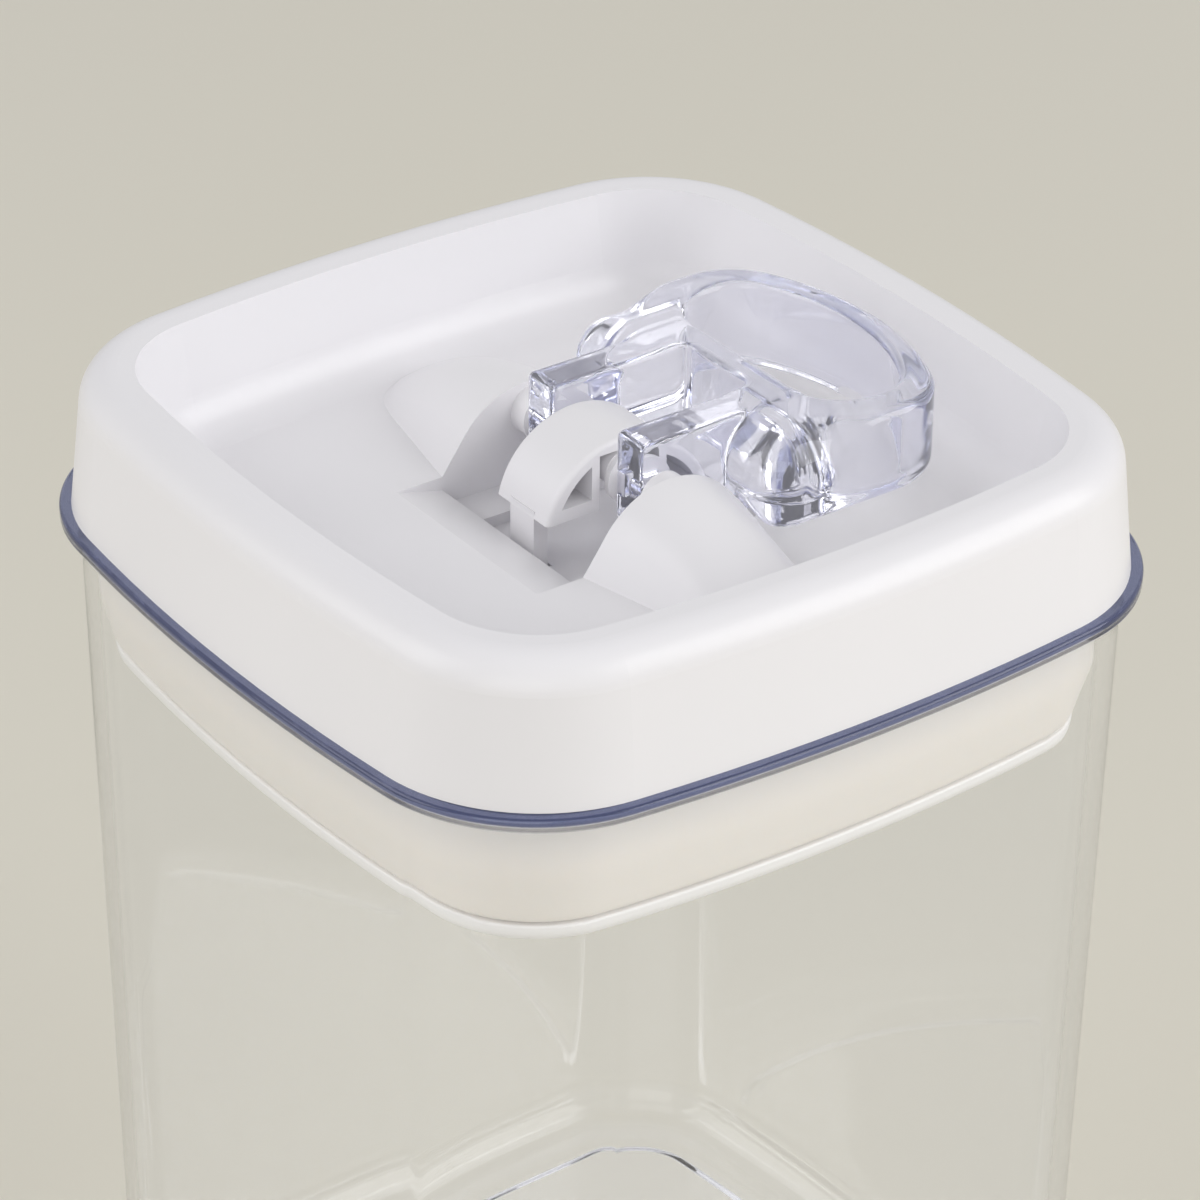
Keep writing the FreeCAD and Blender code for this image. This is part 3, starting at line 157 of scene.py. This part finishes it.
def rings_round(plan, plan_half, profile):
    """Rings of points: the plan moved outwards by each half width less its own, at each height."""
    points, normals = plan
    outwards = (profile[:, 0] - plan_half)[:, None, None]
    flat = points[None] + normals[None] * outwards
    height = np.broadcast_to(profile[:, 1][:, None, None], flat.shape[:2] + (1,))
    return np.concatenate([flat, height], axis=2)


def shrunk(ring, shares):
    """Copies of a ring drawn in towards its middle by each share."""
    flat = ring[None, :, :2] * np.array(shares)[:, None, None]
    height = np.full(flat.shape[:2] + (1,), ring[0, 2])
    return np.concatenate([flat, height], axis=2)


def closed_mesh(name, verts, faces, sharp=38):
    """A smooth closed mesh, from points in millimetres, with its normals turned outwards.

    An edge that turns by more degrees than sharp stays sharp."""
    mesh = bpy.data.meshes.new(name)
    mesh.from_pydata((verts * MM).tolist(), [], faces)
    tool = bmesh.new()
    tool.from_mesh(mesh)
    bmesh.ops.recalc_face_normals(tool, faces=tool.faces)
    tool.to_mesh(mesh)
    tool.free()
    mesh.shade_smooth()
    mesh.set_sharp_from_angle(angle=math.radians(sharp))
    piece = bpy.data.objects.new(name, mesh)
    bpy.context.scene.collection.objects.link(piece)
    return piece


def skin(name, rings, loop=False):
    """A closed mesh over rings of points.

    Neighbouring rings are joined by quads. A loop also joins the last ring to the first, and
    otherwise each end is closed by a fan to its middle point."""
    count, around = rings.shape[:2]
    verts = rings.reshape(-1, 3)
    here = np.arange(around)
    after = (here + 1) % around
    ring = np.arange(count if loop else count - 1)[:, None] * around
    above = (ring + around) % (count * around)
    quads = np.stack([ring + here, ring + after, above + after, above + here], axis=2)
    faces = quads.reshape(-1, 4).tolist()
    if not loop:
        first, last = len(verts), len(verts) + 1
        verts = np.concatenate([verts, rings[[0, -1]].mean(axis=1)])
        end = (count - 1) * around
        faces += np.stack([after, here, np.full(around, first)], axis=1).tolist()
        faces += np.stack([end + here, end + after, np.full(around, last)], axis=1).tolist()
    return closed_mesh(name, verts, faces)


def new_material(name):
    """A node material: the material, its node tree and its Principled shader."""
    material = bpy.data.materials.new(name)
    material.use_nodes = True
    tree = material.node_tree
    return material, tree, tree.nodes["Principled BSDF"]


def node(tree, kind, **values):
    """Adds a node; a value named after an input goes on that input, any other on the node."""
    made = tree.nodes.new(kind)
    for key, value in values.items():
        if key.replace("_", " ") in made.inputs:
            made.inputs[key.replace("_", " ")].default_value = value
        else:
            setattr(made, key, value)
    return made


def grain(tree, scale, detail=2.0):
    """Noise on the piece's own coordinates."""
    place = node(tree, "ShaderNodeTexCoord")
    noise = node(tree, "ShaderNodeTexNoise", Scale=scale, Detail=detail)
    tree.links.new(place.outputs["Object"], noise.inputs["Vector"])
    return noise


def spread(tree, noise, low, high):
    """Carries the noise's middle range, from 0.3 to 0.7, onto low to high."""
    made = node(tree, "ShaderNodeMapRange", From_Min=0.3, From_Max=0.7, To_Min=low, To_Max=high)
    tree.links.new(noise.outputs["Fac"], made.inputs["Value"])
    return made.outputs["Result"]


def bump(tree, shader, noise, distance, strength=1.0):
    """Raises the surface by the noise."""
    made = node(tree, "ShaderNodeBump", Strength=strength, Distance=distance)
    tree.links.new(noise.outputs["Fac"], made.inputs["Height"])
    tree.links.new(made.outputs["Normal"], shader.inputs["Normal"])


def rise(tree, low, high):
    """A smooth step from 0 to 1 between two heights on the piece, in millimetres."""
    place = node(tree, "ShaderNodeTexCoord")
    split = node(tree, "ShaderNodeSeparateXYZ")
    made = node(tree, "ShaderNodeMapRange", From_Min=low * MM, From_Max=high * MM,
                interpolation_type="SMOOTHSTEP")
    tree.links.new(place.outputs["Object"], split.inputs[0])
    tree.links.new(split.outputs["Z"], made.inputs["Value"])
    return made.outputs["Result"]


def maths(tree, operation, first, second):
    """One step of arithmetic on a node's output and a number, or another node's output."""
    made = node(tree, "ShaderNodeMath", operation=operation)
    tree.links.new(first, made.inputs[0])
    if isinstance(second, (int, float)):
        made.inputs[1].default_value = second
    else:
        tree.links.new(second, made.inputs[1])
    return made.outputs[0]


def mixed_colour(tree, share, first, second):
    """The first colour where the share is 0, and the second where it is 1."""
    made = node(tree, "ShaderNodeMix", data_type="RGBA")
    made.inputs[COLOUR_ONE].default_value = (*first, 1)
    made.inputs[COLOUR_TWO].default_value = (*second, 1)
    tree.links.new(share, made.inputs[0])
    return made.outputs[COLOUR_OUT]


def mixed_shader(tree, share, first, second):
    """The first shader where the share is 0, and the second where it is 1."""
    made = node(tree, "ShaderNodeMixShader")
    tree.links.new(share, made.inputs[0])
    tree.links.new(first.outputs[0], made.inputs[1])
    tree.links.new(second.outputs[0], made.inputs[2])
    return made.outputs[0]


def lets_light_through(tree, shader, share, depth, tone):
    """Mixes in a clear shader for shadow and diffuse rays, so that what stands behind is lit.

    Light that has turned more often than depth leaves straight on in this tone, so that no
    facet stays black."""
    path = node(tree, "ShaderNodeLightPath")
    either = maths(tree, "MAXIMUM", path.outputs["Is Shadow Ray"], path.outputs["Is Diffuse Ray"])
    trapped = maths(tree, "GREATER_THAN", path.outputs["Ray Depth"], depth)
    passed = maths(tree, "MAXIMUM", maths(tree, "MULTIPLY", either, share), trapped)
    clear = node(tree, "ShaderNodeBsdfTransparent")
    tree.links.new(mixed_colour(tree, trapped, (1, 1, 1), tone), clear.inputs["Color"])
    surface = mixed_shader(tree, passed, shader, clear)
    tree.links.new(surface, tree.nodes["Material Output"].inputs["Surface"])


canister_clear, tree, shader = new_material("canister_clear")
# Painted shade: the flange's edge is painted navy and made less clear, standing in for the dark
# refraction its clear edge shows; the rest of the wall stays clear
edge = rise(tree, PAINTED_SHADE_LOW, PAINTED_SHADE_HIGH)
tree.links.new(mixed_colour(tree, edge, WALL_CLEAR, EDGE_PAINTED_NAVY_SHADE), shader.inputs["Base Color"])
clarity = node(tree, "ShaderNodeMapRange", To_Min=1.0, To_Max=0.5)
tree.links.new(edge, clarity.inputs["Value"])
tree.links.new(clarity.outputs["Result"], shader.inputs["Transmission Weight"])
shader.inputs["IOR"].default_value = 1.52
gloss = spread(tree, grain(tree, scale=900.0), low=0.0, high=0.03)
tree.links.new(gloss, shader.inputs["Roughness"])
bump(tree, shader, grain(tree, scale=14.0, detail=1.0), distance=0.0004, strength=0.25)
lets_light_through(tree, shader, share=0.96, depth=7, tone=(1.0, 1.0, 1.0))

wall_out = RIM_HALF - FLANGE_REACH
foot_out = wall_out - WALL_DRAFT
foot_in = foot_out - BASE_RADIUS - FOOT_WIDTH
floor_out = RIM_HALF - FLOOR_RING
floor_top = BASE_RECESS + BASE_THICKNESS
canister_profile = rounded([
    (floor_out, BASE_RECESS),
    (foot_in - RECESS_RUN, BASE_RECESS, FOOT_EDGE),
    (foot_in, 0.0, FOOT_EDGE),
    (foot_out, 0.0, BASE_RADIUS),
    (wall_out, RIM_TOP - FLANGE_HEIGHT),
    (RIM_HALF, RIM_TOP - FLANGE_HEIGHT, FLANGE_EDGE),
    (RIM_HALF, RIM_TOP, FLANGE_EDGE),
    (wall_out - WALL, RIM_TOP, MOUTH_EDGE),
    (foot_out - WALL, floor_top, BASE_HOLLOW),
    (floor_out, floor_top),
])
plan = bowed_square(RIM_HALF, RIM_CORNER, SIDE_CURVE)
rings = rings_round(plan, RIM_HALF, split_runs(canister_profile, longest=8.0))

# Both faces of the floor go on inwards in eight smaller rings
inward = np.linspace(0.92, 0.08, 8)
rings = np.concatenate([shrunk(rings[0], inward[::-1]), rings, shrunk(rings[-1], inward)])
canister = skin("canister", rings)
canister.data.materials.append(canister_clear)
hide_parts("container_body")
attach(canister, "container")


# Lid shell, lid base, yoke, axle and bushes: white moulded plastic with a fine satin grain. The
# shell's crest, dish, well and mounds are one moulding, and the base closes it from below. The
# yoke hangs on the round axle between the lever's arms, and a bush keeps each arm off its mound.

LID_WHITE = (0.872, 0.860, 0.884)


def white_plastic(name, colour):
    """Satin white plastic: a faintly uneven colour, and a fine grain in its gloss and height."""
    material, tree, shader = new_material(name)
    darker = [part * 0.985 for part in colour]
    cloud = spread(tree, grain(tree, scale=35.0), low=0.0, high=1.0)
    tree.links.new(mixed_colour(tree, cloud, darker, colour), shader.inputs["Base Color"])
    fine = grain(tree, scale=1100.0, detail=3.0)
    tree.links.new(spread(tree, fine, low=0.28, high=0.36), shader.inputs["Roughness"])
    bump(tree, shader, fine, distance=0.000003, strength=0.6)
    return material


def dress(material, *names):
    """Gives the solids of these names the material."""
    for name in names:
        nodes[name].data.materials.clear()
        nodes[name].data.materials.append(material)


lid_white = white_plastic("lid_white", LID_WHITE)
dress(lid_white, "lid_shell", "lid_base", "bush_near", "bush_far", "pull_yoke", "cam_axle")


# Pressure plate: the same plastic as the lid, hung on the yoke's legs under the lid. Its lighter,
# warmer white is painted light, standing in for the warm light that reaches it from below. The
# lever pulls it up against the seal, and it shows as a bright band through the wall.

# Painted light: lighter and warmer than the lid's white, for the warm light the plate gets from
# below
PLATE_PAINTED_LIGHT_WHITE = (0.95, 0.94, 0.935)
plate_painted_light = white_plastic("plate_painted_light", PLATE_PAINTED_LIGHT_WHITE)
dress(plate_painted_light, "pressure_plate")


# Lever: one clear hard moulding, thick and glossy. Two arms reach from the pins to a crossbar and
# a finger ring, whose bowed front follows the dish, and its shoulders are scooped out to clear the
# lid's mounds. It is drawn as a distance to its skin, so that every edge has a soft rounding.

low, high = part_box("lever")
LEVER_TOP = high[2] / MM
LEVER_UNDER = low[2] / MM
PIVOT_DROP = 7.2            # the lever's top to the pins
PIVOT_X = 0.8               # the lid's middle to the pins, towards the ring
PIVOT_Z = LEVER_TOP - PIVOT_DROP
RING_MIDDLE = 5.4           # centre of the ring's bowed front
RING_FRONT = 36.3           # its radius
RING_HALF = 21.5            # half width of the ring
RING_CORNER = 10.0          # front corners, seen from above
RING_BACK = 10.2            # where the shoulders start
SHOULDER_CORNER = 4.5       # corners of the shoulders, seen from above
SHOULDER_ROUND = 5.6        # rounding over the shoulders
FRONT_ROUND = 1.3           # rounding over the ring's front
EASE_START = 17.0           # where the shoulders' rounding starts to shrink
EASE_RUN = 9.0              # and how far it is from there to the front's
RING_UNDER = 2.0            # rounding of the ring's lower edge
ARM_HALF = 11.6             # half width over both arms
ARM_BACK = -2.0             # the arms' square ends
ARM_CORNER = 0.5            # corners of those ends, seen from above
ARM_FRONT = 23.0            # where the arms end inside the ring
ARM_ROUND = 0.8             # rounding over and under the arms
FILLET = 0.7                # hollow between the arms and the ring
HOLE_MIDDLE = 11.35         # centre of the finger hole's bowed front
HOLE_FRONT = 27.0           # its radius
HOLE_HALF = 16.4            # half width of the hole
HOLE_CORNER = 6.0           # front corners, seen from above
HOLE_BACK = 21.5            # the crossbar's edge
HOLE_BACK_CORNER = 7.5      # corners beside the crossbar
HOLE_ROUND = 1.1            # rounding of the hole's edges
GAP_HALF = 6.25             # half width between the arms
GAP_FRONT = 17.8            # the crossbar's other edge
GAP_CORNER = 1.6            # corners of the gap, seen from above
GAP_ROUND = 0.8             # rounding of the gap's edges
MOUND_X = -0.2              # the mounds' ridge
MOUND_FOOT = 135.8          # height of the dish floor
MOUND_FACE = 14.5           # the lid's middle to a mound's flat face
MOUND_RUN = 24.0            # flat face to where the mound runs out
MOUND_END = 0.95            # share of that run where it stops getting lower and narrower
MOUND_TAPER = 0.4           # how much narrower it gets over the whole run
MOUND_RISE = 17.1           # dish floor to where the flanks would meet
FLANK_SLOPE = 1.4           # rise of a flank over its run
FLANK_LENGTH = 1.72         # length of a flank over its run
MOUND_ROUND = 10.9          # rounding over the flat face
ROUND_DROP = 1.7            # the rounding's centre below the dish floor
ROUND_HALF = 8.87           # half width where that rounding meets the flanks
MOUND_GAP = 0.6             # air between the lever and the mounds
SCOOP_ROUND = 0.5           # rounding of the scoops' edges
BORE = 1.3                  # radius of the pins' bores
BORE_END = 8.15             # the lid's middle to a bore's end
SOCKET_HALF = 1.6           # half side of the axle's square sockets
SOCKET_END = 7.5            # the lid's middle to a socket's end
LEVER_CELL = 0.31           # side of the cells that the lever's mesh is drawn with
LEVER_LOW = (-3.0, -22.3, 135.8)
LEVER_HIGH = (42.6, 22.3, 149.2)
LEVER_CLEAR = (0.925, 0.927, 0.985)
LEVER_DEEP = (0.47, 0.50, 0.70)  # light that is caught inside leaves in this tone

lever_clear, tree, shader = new_material("lever_clear")
shader.inputs["Base Color"].default_value = (*LEVER_CLEAR, 1)
shader.inputs["Transmission Weight"].default_value = 0.94
shader.inputs["IOR"].default_value = 1.5
gloss = spread(tree, grain(tree, scale=700.0), low=0.0, high=0.02)
tree.links.new(gloss, shader.inputs["Roughness"])
bump(tree, shader, grain(tree, scale=60.0, detail=1.0), distance=0.0003, strength=0.2)
lets_light_through(tree, shader, share=0.85, depth=5, tone=LEVER_DEEP)


def rounded_and(first, second, radius):
    """The distance to what two solids share, its edge rounded."""
    a = first + radius
    b = second + radius
    return np.minimum(np.maximum(a, b), 0) + np.hypot(np.maximum(a, 0), np.maximum(b, 0)) - radius


def without(solid, hole, radius):
    """The distance to a solid with a hole in it, the hole's edge rounded."""
    return rounded_and(solid, -hole, radius)


def rounded_end(x, y, middle, front, half, bend):
    """The distance to a strip of this half width, its end an arc round the middle, corners bent."""
    across = half - bend
    along = math.sqrt((front - bend) ** 2 - across ** 2)
    plain = np.maximum(np.hypot(x - middle, y) - front, y - half)
    corner = np.hypot(x - middle - along, y - across) - bend
    return np.where((x > middle + along) & (y * along > across * (x - middle)), corner, plain)


def ring_and_arms(x, y, z):
    """The distance to the ring and the two arms, before anything is cut out of them.

    The rounding of the ring's upper edge shrinks smoothly from the shoulders to the front."""
    ring = rounded_end(x, y, RING_MIDDLE, RING_FRONT, RING_HALF, RING_CORNER)
    ring = rounded_and(ring, RING_BACK - x, SHOULDER_CORNER)
    ease = np.clip((x - EASE_START) / EASE_RUN, 0, 1)
    ease = ease * ease * (3 - 2 * ease)
    ring = rounded_and(ring, z - LEVER_TOP, SHOULDER_ROUND - (SHOULDER_ROUND - FRONT_ROUND) * ease)
    ring = rounded_and(ring, LEVER_UNDER - z, RING_UNDER)
    arms = rounded_and(y - ARM_HALF, ARM_BACK - x, ARM_CORNER)
    arms = rounded_and(np.maximum(arms, x - ARM_FRONT), z - LEVER_TOP, ARM_ROUND)
    arms = rounded_and(arms, LEVER_UNDER - z, ARM_ROUND)
    return -rounded_and(-ring, -arms, FILLET)


def mound_room(x, y, z):
    """The distance to a mound of the lid, grown by the air that the lever keeps from it.

    A mound is a round ridge between two straight flanks. Its height falls with the square of
    the way along it, and its width in proportion to that way."""
    along = np.clip((y - MOUND_FACE) / MOUND_RUN, 0, MOUND_END)
    fall = 1 - along * along
    across = np.abs(x - MOUND_X) / (1 - MOUND_TAPER * along)
    above = (z - MOUND_FOOT) / fall
    flank = (above - MOUND_RISE + FLANK_SLOPE * across) / FLANK_LENGTH
    ridge = np.hypot(across, above + ROUND_DROP) - MOUND_ROUND
    mound = np.where(across < ROUND_HALF, ridge, flank)
    return np.maximum(mound * fall - MOUND_GAP, MOUND_FACE - MOUND_GAP - y)


def pivot_room(x, y, z):
    """The distance to the pins' round bores, and to the axle's square sockets inside them."""
    side = np.abs(x - PIVOT_X)
    height = np.abs(z - PIVOT_Z)
    bore = np.maximum(np.hypot(side, height) - BORE, BORE_END - y)
    socket = np.maximum(np.maximum(side, height) - SOCKET_HALF, y - SOCKET_END)
    return np.minimum(bore, socket)


def lever_field(points):
    """The distance from points to the lever's skin, in millimetres, less than zero inside."""
    x, y, z = points[..., 0], np.abs(points[..., 1]), points[..., 2]
    hole = rounded_end(x, y, HOLE_MIDDLE, HOLE_FRONT, HOLE_HALF, HOLE_CORNER)
    hole = rounded_and(hole, HOLE_BACK - x, HOLE_BACK_CORNER)
    gap = rounded_and(y - GAP_HALF, x - GAP_FRONT, GAP_CORNER)
    solid = without(ring_and_arms(x, y, z), hole, HOLE_ROUND)
    solid = without(solid, gap, GAP_ROUND)
    solid = without(solid, mound_room(x, y, z), SCOOP_ROUND)
    return np.maximum(solid, -pivot_room(x, y, z))


def onto_skin(field, points, rounds=4, nudge=0.02):
    """Moves points down the field's slope until they lie where it is zero.

    The slope is measured over a nudge to each side. Each round goes nine tenths of the way that
    it gives, and a slight slope counts as no less than 0.3, so that no point is thrown off."""
    for turn in range(rounds):
        slope = np.stack([(field(points + way) - field(points - way)) / (2 * nudge)
                          for way in np.eye(3) * nudge], axis=-1)
        steep = np.maximum((slope ** 2).sum(axis=-1), 0.3)
        points = points - slope * (field(points) / steep)[:, None] * 0.9
    return points


def shifted(shape, shifts):
    """The part of a grid that starts at each axis's shift and has this shape."""
    return tuple(slice(shift, shift + size) for shift, size in zip(shifts, shape))


def skin_of_field(name, field, low, high, step):
    """A closed mesh where a field is zero, over a box of cells with sides of one step.

    Each cell that the skin crosses gets a corner, the mean of the crossings on its twelve edges,
    moved onto the skin. Each grid edge that is crossed gets a quad between the four cells
    round it."""
    axes = [np.arange(a, b + step, step) for a, b in zip(low, high)]
    grid = np.stack(np.meshgrid(*axes, indexing="ij"), axis=-1)
    value = field(grid)
    shape = np.array(value.shape) - 1
    total = np.zeros((*shape, 3))
    hits = np.zeros(shape)
    for axis in range(3):
        one, two = [a for a in range(3) if a != axis]
        for corner in ((0, 0), (0, 1), (1, 0), (1, 1)):
            shifts = np.zeros(3, int)
            shifts[[one, two]] = corner
            start = shifted(shape, shifts)
            shifts[axis] = 1
            a, b = value[start], value[shifted(shape, shifts)]
            crossed = (a < 0) != (b < 0)
            share = np.where(crossed, a / np.where(crossed, a - b, 1), 0)
            spot = grid[start].copy()
            spot[..., axis] += share * step
            total += spot * crossed[..., None]
            hits += crossed
    used = hits > 0
    number = np.full(shape, -1)
    number[used] = np.arange(used.sum())
    points = onto_skin(field, total[used] / hits[used][:, None])
    quads = []
    for axis in range(3):
        one, two = [a for a in range(3) if a != axis]
        inner = shape - 1
        inner[axis] += 1
        shifts = np.ones(3, int)
        shifts[axis] = 0
        start = value[shifted(inner, shifts)]
        shifts[axis] = 1
        crossed = np.argwhere((start < 0) != (value[shifted(inner, shifts)] < 0))
        corners = []
        for shift_one, shift_two in ((0, 0), (1, 0), (1, 1), (0, 1)):
            cell = crossed.copy()
            cell[:, one] += shift_one
            cell[:, two] += shift_two
            corners.append(number[tuple(cell.T)])
        quads.append(np.stack(corners, axis=1))
    return closed_mesh(name, points, np.concatenate(quads).tolist())


lever = skin_of_field("flip_lever", lever_field, LEVER_LOW, LEVER_HIGH, LEVER_CELL)
lever.data.materials.append(lever_clear)
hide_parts("lever")
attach(lever, "lever_body")


# Pivot pins and screws: bright turned steel, a little uneven in its gloss. The lever's arms turn
# on the two headed pins, and four self-tapping screws hold the lid base to the shell.

STEEL = (0.62, 0.62, 0.63)
pin_steel, tree, shader = new_material("pin_steel")
shader.inputs["Metallic"].default_value = 1.0
shader.inputs["Base Color"].default_value = (*STEEL, 1)
turned = grain(tree, scale=2500.0)
tree.links.new(spread(tree, turned, low=0.22, high=0.4), shader.inputs["Roughness"])
bump(tree, shader, turned, distance=0.000004, strength=0.5)
dress(pin_steel, "pivot_pin_near", "pivot_pin_far", "base_screws")


# Seal: a milky silicone ring under the lid, squeezed against the container's wall. Its head is
# held by the lid and its foot by the plate; the real seal stretches as the plate drops, but here
# it is one fixed mesh.

low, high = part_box("gasket")
SEAL_HALF = high[0] / MM    # centre to the seal's outside, at the middle of a side
SEAL_TOP = high[2] / MM     # the lid's brim lies on it
SEAL_FOOT = low[2] / MM     # and it stands on the plate
SEAL_WALL = 1.6
SEAL_LIP = 6.0              # width of the lips that the lid and the plate hold
LIP_EDGE = 0.4              # rounding of the lips' edges
HEAD_EDGE = 0.5             # outer rounding at the head
HEAD_HOLLOW = 1.0           # inner rounding at the head
WAIST_DROP = 7.0            # head to the waist
WAIST_IN = 0.15             # how far the waist is pulled in
WAIST_CURVE = 12.0          # rounding of the waist
FOOT_IN = 2.4               # how far the foot is pulled in
FOOT_CURVE = 2.2            # rounding of the foot
MILK_LOW = 121.0            # painted warm light below this height, for light thrown up from below
MILK_HIGH = 129.0           # cooler and darker above this one
MILK_PAINTED_WARM_LIGHT = (0.93, 0.88, 0.83)
MILK_COOL = (0.78, 0.765, 0.76)

seal_silicone, tree, shader = new_material("seal_silicone")
# The seal's milky colour with painted warm light on its lower part, standing for light thrown up
# from below; it turns cooler and darker towards the top
milk_and_painted_light = mixed_colour(tree, rise(tree, MILK_LOW, MILK_HIGH), MILK_PAINTED_WARM_LIGHT, MILK_COOL)
tree.links.new(milk_and_painted_light, shader.inputs["Base Color"])
shader.inputs["Subsurface Weight"].default_value = 0.4
shader.inputs["Subsurface Radius"].default_value = (1.0, 0.9, 0.8)
shader.inputs["Subsurface Scale"].default_value = 0.002
fine = grain(tree, scale=1200.0, detail=3.0)
tree.links.new(spread(tree, fine, low=0.42, high=0.58), shader.inputs["Roughness"])
bump(tree, shader, fine, distance=0.00002, strength=0.5)

lip_in = SEAL_HALF - SEAL_LIP
waist_out = SEAL_HALF - WAIST_IN
waist_height = SEAL_TOP - WAIST_DROP
foot_out = SEAL_HALF - FOOT_IN
seal_profile = rounded([
    (lip_in, SEAL_TOP - SEAL_WALL, LIP_EDGE),
    (lip_in, SEAL_TOP, LIP_EDGE),
    (SEAL_HALF, SEAL_TOP, HEAD_EDGE),
    (waist_out, waist_height, WAIST_CURVE),
    (foot_out, SEAL_FOOT, FOOT_CURVE),
    (lip_in, SEAL_FOOT, LIP_EDGE),
    (lip_in, SEAL_FOOT + SEAL_WALL, LIP_EDGE),
    (foot_out - SEAL_WALL, SEAL_FOOT + SEAL_WALL, FOOT_CURVE),
    (waist_out - SEAL_WALL, waist_height, WAIST_CURVE),
    (SEAL_HALF - SEAL_WALL, SEAL_TOP - SEAL_WALL, HEAD_HOLLOW),
])
closed = np.concatenate([seal_profile, seal_profile[:1]])
seal_rings = rings_round(plan, RIM_HALF, split_runs(closed, longest=1.5)[:-1])
seal = skin("seal", seal_rings, loop=True)
seal.data.materials.append(seal_silicone)
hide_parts("gasket")
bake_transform(seal)


# Floor, light and camera: a pale matt floor, a plain pale studio and three soft square lamps. The
# largest stands on the finger ring's side, and the camera at the photograph's viewing angle.

FLOOR_HALF = 5.0
FLOOR_DROP = 0.00005        # just under the foot ring, so that the two faces don't meet
CAMERA_PLACE = (-0.307772, -0.421443, 0.431593)
CAMERA_RIGHT = (0.81033073, -0.58589261, 0.00969383)
CAMERA_UP = (0.29257381, 0.41887294, 0.85961970)
CAMERA_BACK = (-0.50770531, -0.69374009, 0.51084245)
LID_MIDDLE = (0.0, 0.0, 0.13)
FLOOR_COLOUR = (0.75, 0.72, 0.63)
WALL_COLOUR = (0.80, 0.80, 0.84)

floor_pale, tree, shader = new_material("floor_pale")
shader.inputs["Base Color"].default_value = (*FLOOR_COLOUR, 1)
shader.inputs["Roughness"].default_value = 0.6
shader.inputs["Specular IOR Level"].default_value = 0.2
floor_mesh = bpy.data.meshes.new("floor")
floor_corners = [(x * FLOOR_HALF, y * FLOOR_HALF, -FLOOR_DROP)
                 for x, y in ((-1, -1), (1, -1), (1, 1), (-1, 1))]
floor_mesh.from_pydata(floor_corners, [], [(0, 1, 2, 3)])
floor_mesh.materials.append(floor_pale)
floor = bpy.data.objects.new("floor", floor_mesh)
bpy.context.scene.collection.objects.link(floor)

# The world lights the object softly. Where it is seen, past the object or in its gloss and its
# clear plastic, it is a plain pale wall.
world = bpy.data.worlds.new("studio")
bpy.context.scene.world = world
world.use_nodes = True
tree = world.node_tree
soft = tree.nodes["Background"]
soft.inputs["Color"].default_value = (1.0, 1.0, 1.0, 1)
soft.inputs["Strength"].default_value = 0.47
wall = node(tree, "ShaderNodeBackground", Color=(*WALL_COLOUR, 1), Strength=1.0)
path = node(tree, "ShaderNodeLightPath")
seen = maths(tree, "MAXIMUM", path.outputs["Is Camera Ray"], path.outputs["Is Glossy Ray"])
seen = maths(tree, "MAXIMUM", seen, path.outputs["Is Transmission Ray"])
tree.links.new(mixed_shader(tree, seen, soft, wall), tree.nodes["World Output"].inputs["Surface"])


def softbox(name, place, size, power):
    """A square lamp that faces the middle of the lid."""
    lamp = bpy.data.lights.new(name, "AREA")
    lamp.size = size
    lamp.energy = power
    made = bpy.data.objects.new(name, lamp)
    made.location = place
    made.rotation_euler = (Vector(LID_MIDDLE) - Vector(place)).to_track_quat("-Z", "Y").to_euler()
    bpy.context.scene.collection.objects.link(made)


softbox("window", (1.0, -1.15, 0.95), size=1.3, power=15.0)
softbox("fill", (-1.1, -1.0, 0.55), size=1.1, power=4.0)
softbox("left", (-1.25, 0.6, 0.95), size=1.1, power=7.5)

camera_data = bpy.data.cameras.new("camera")
camera_data.lens = 150.79
camera_data.sensor_width = 36.0
camera_data.clip_start = 0.01
camera_data.clip_end = 50.0
camera = bpy.data.objects.new("camera", camera_data)
bpy.context.scene.collection.objects.link(camera)
turn = Matrix((CAMERA_RIGHT, CAMERA_UP, CAMERA_BACK)).transposed().to_4x4()
camera.matrix_world = Matrix.Translation(CAMERA_PLACE) @ turn
bpy.context.scene.camera = camera
bpy.context.scene.view_settings.view_transform = "Standard"
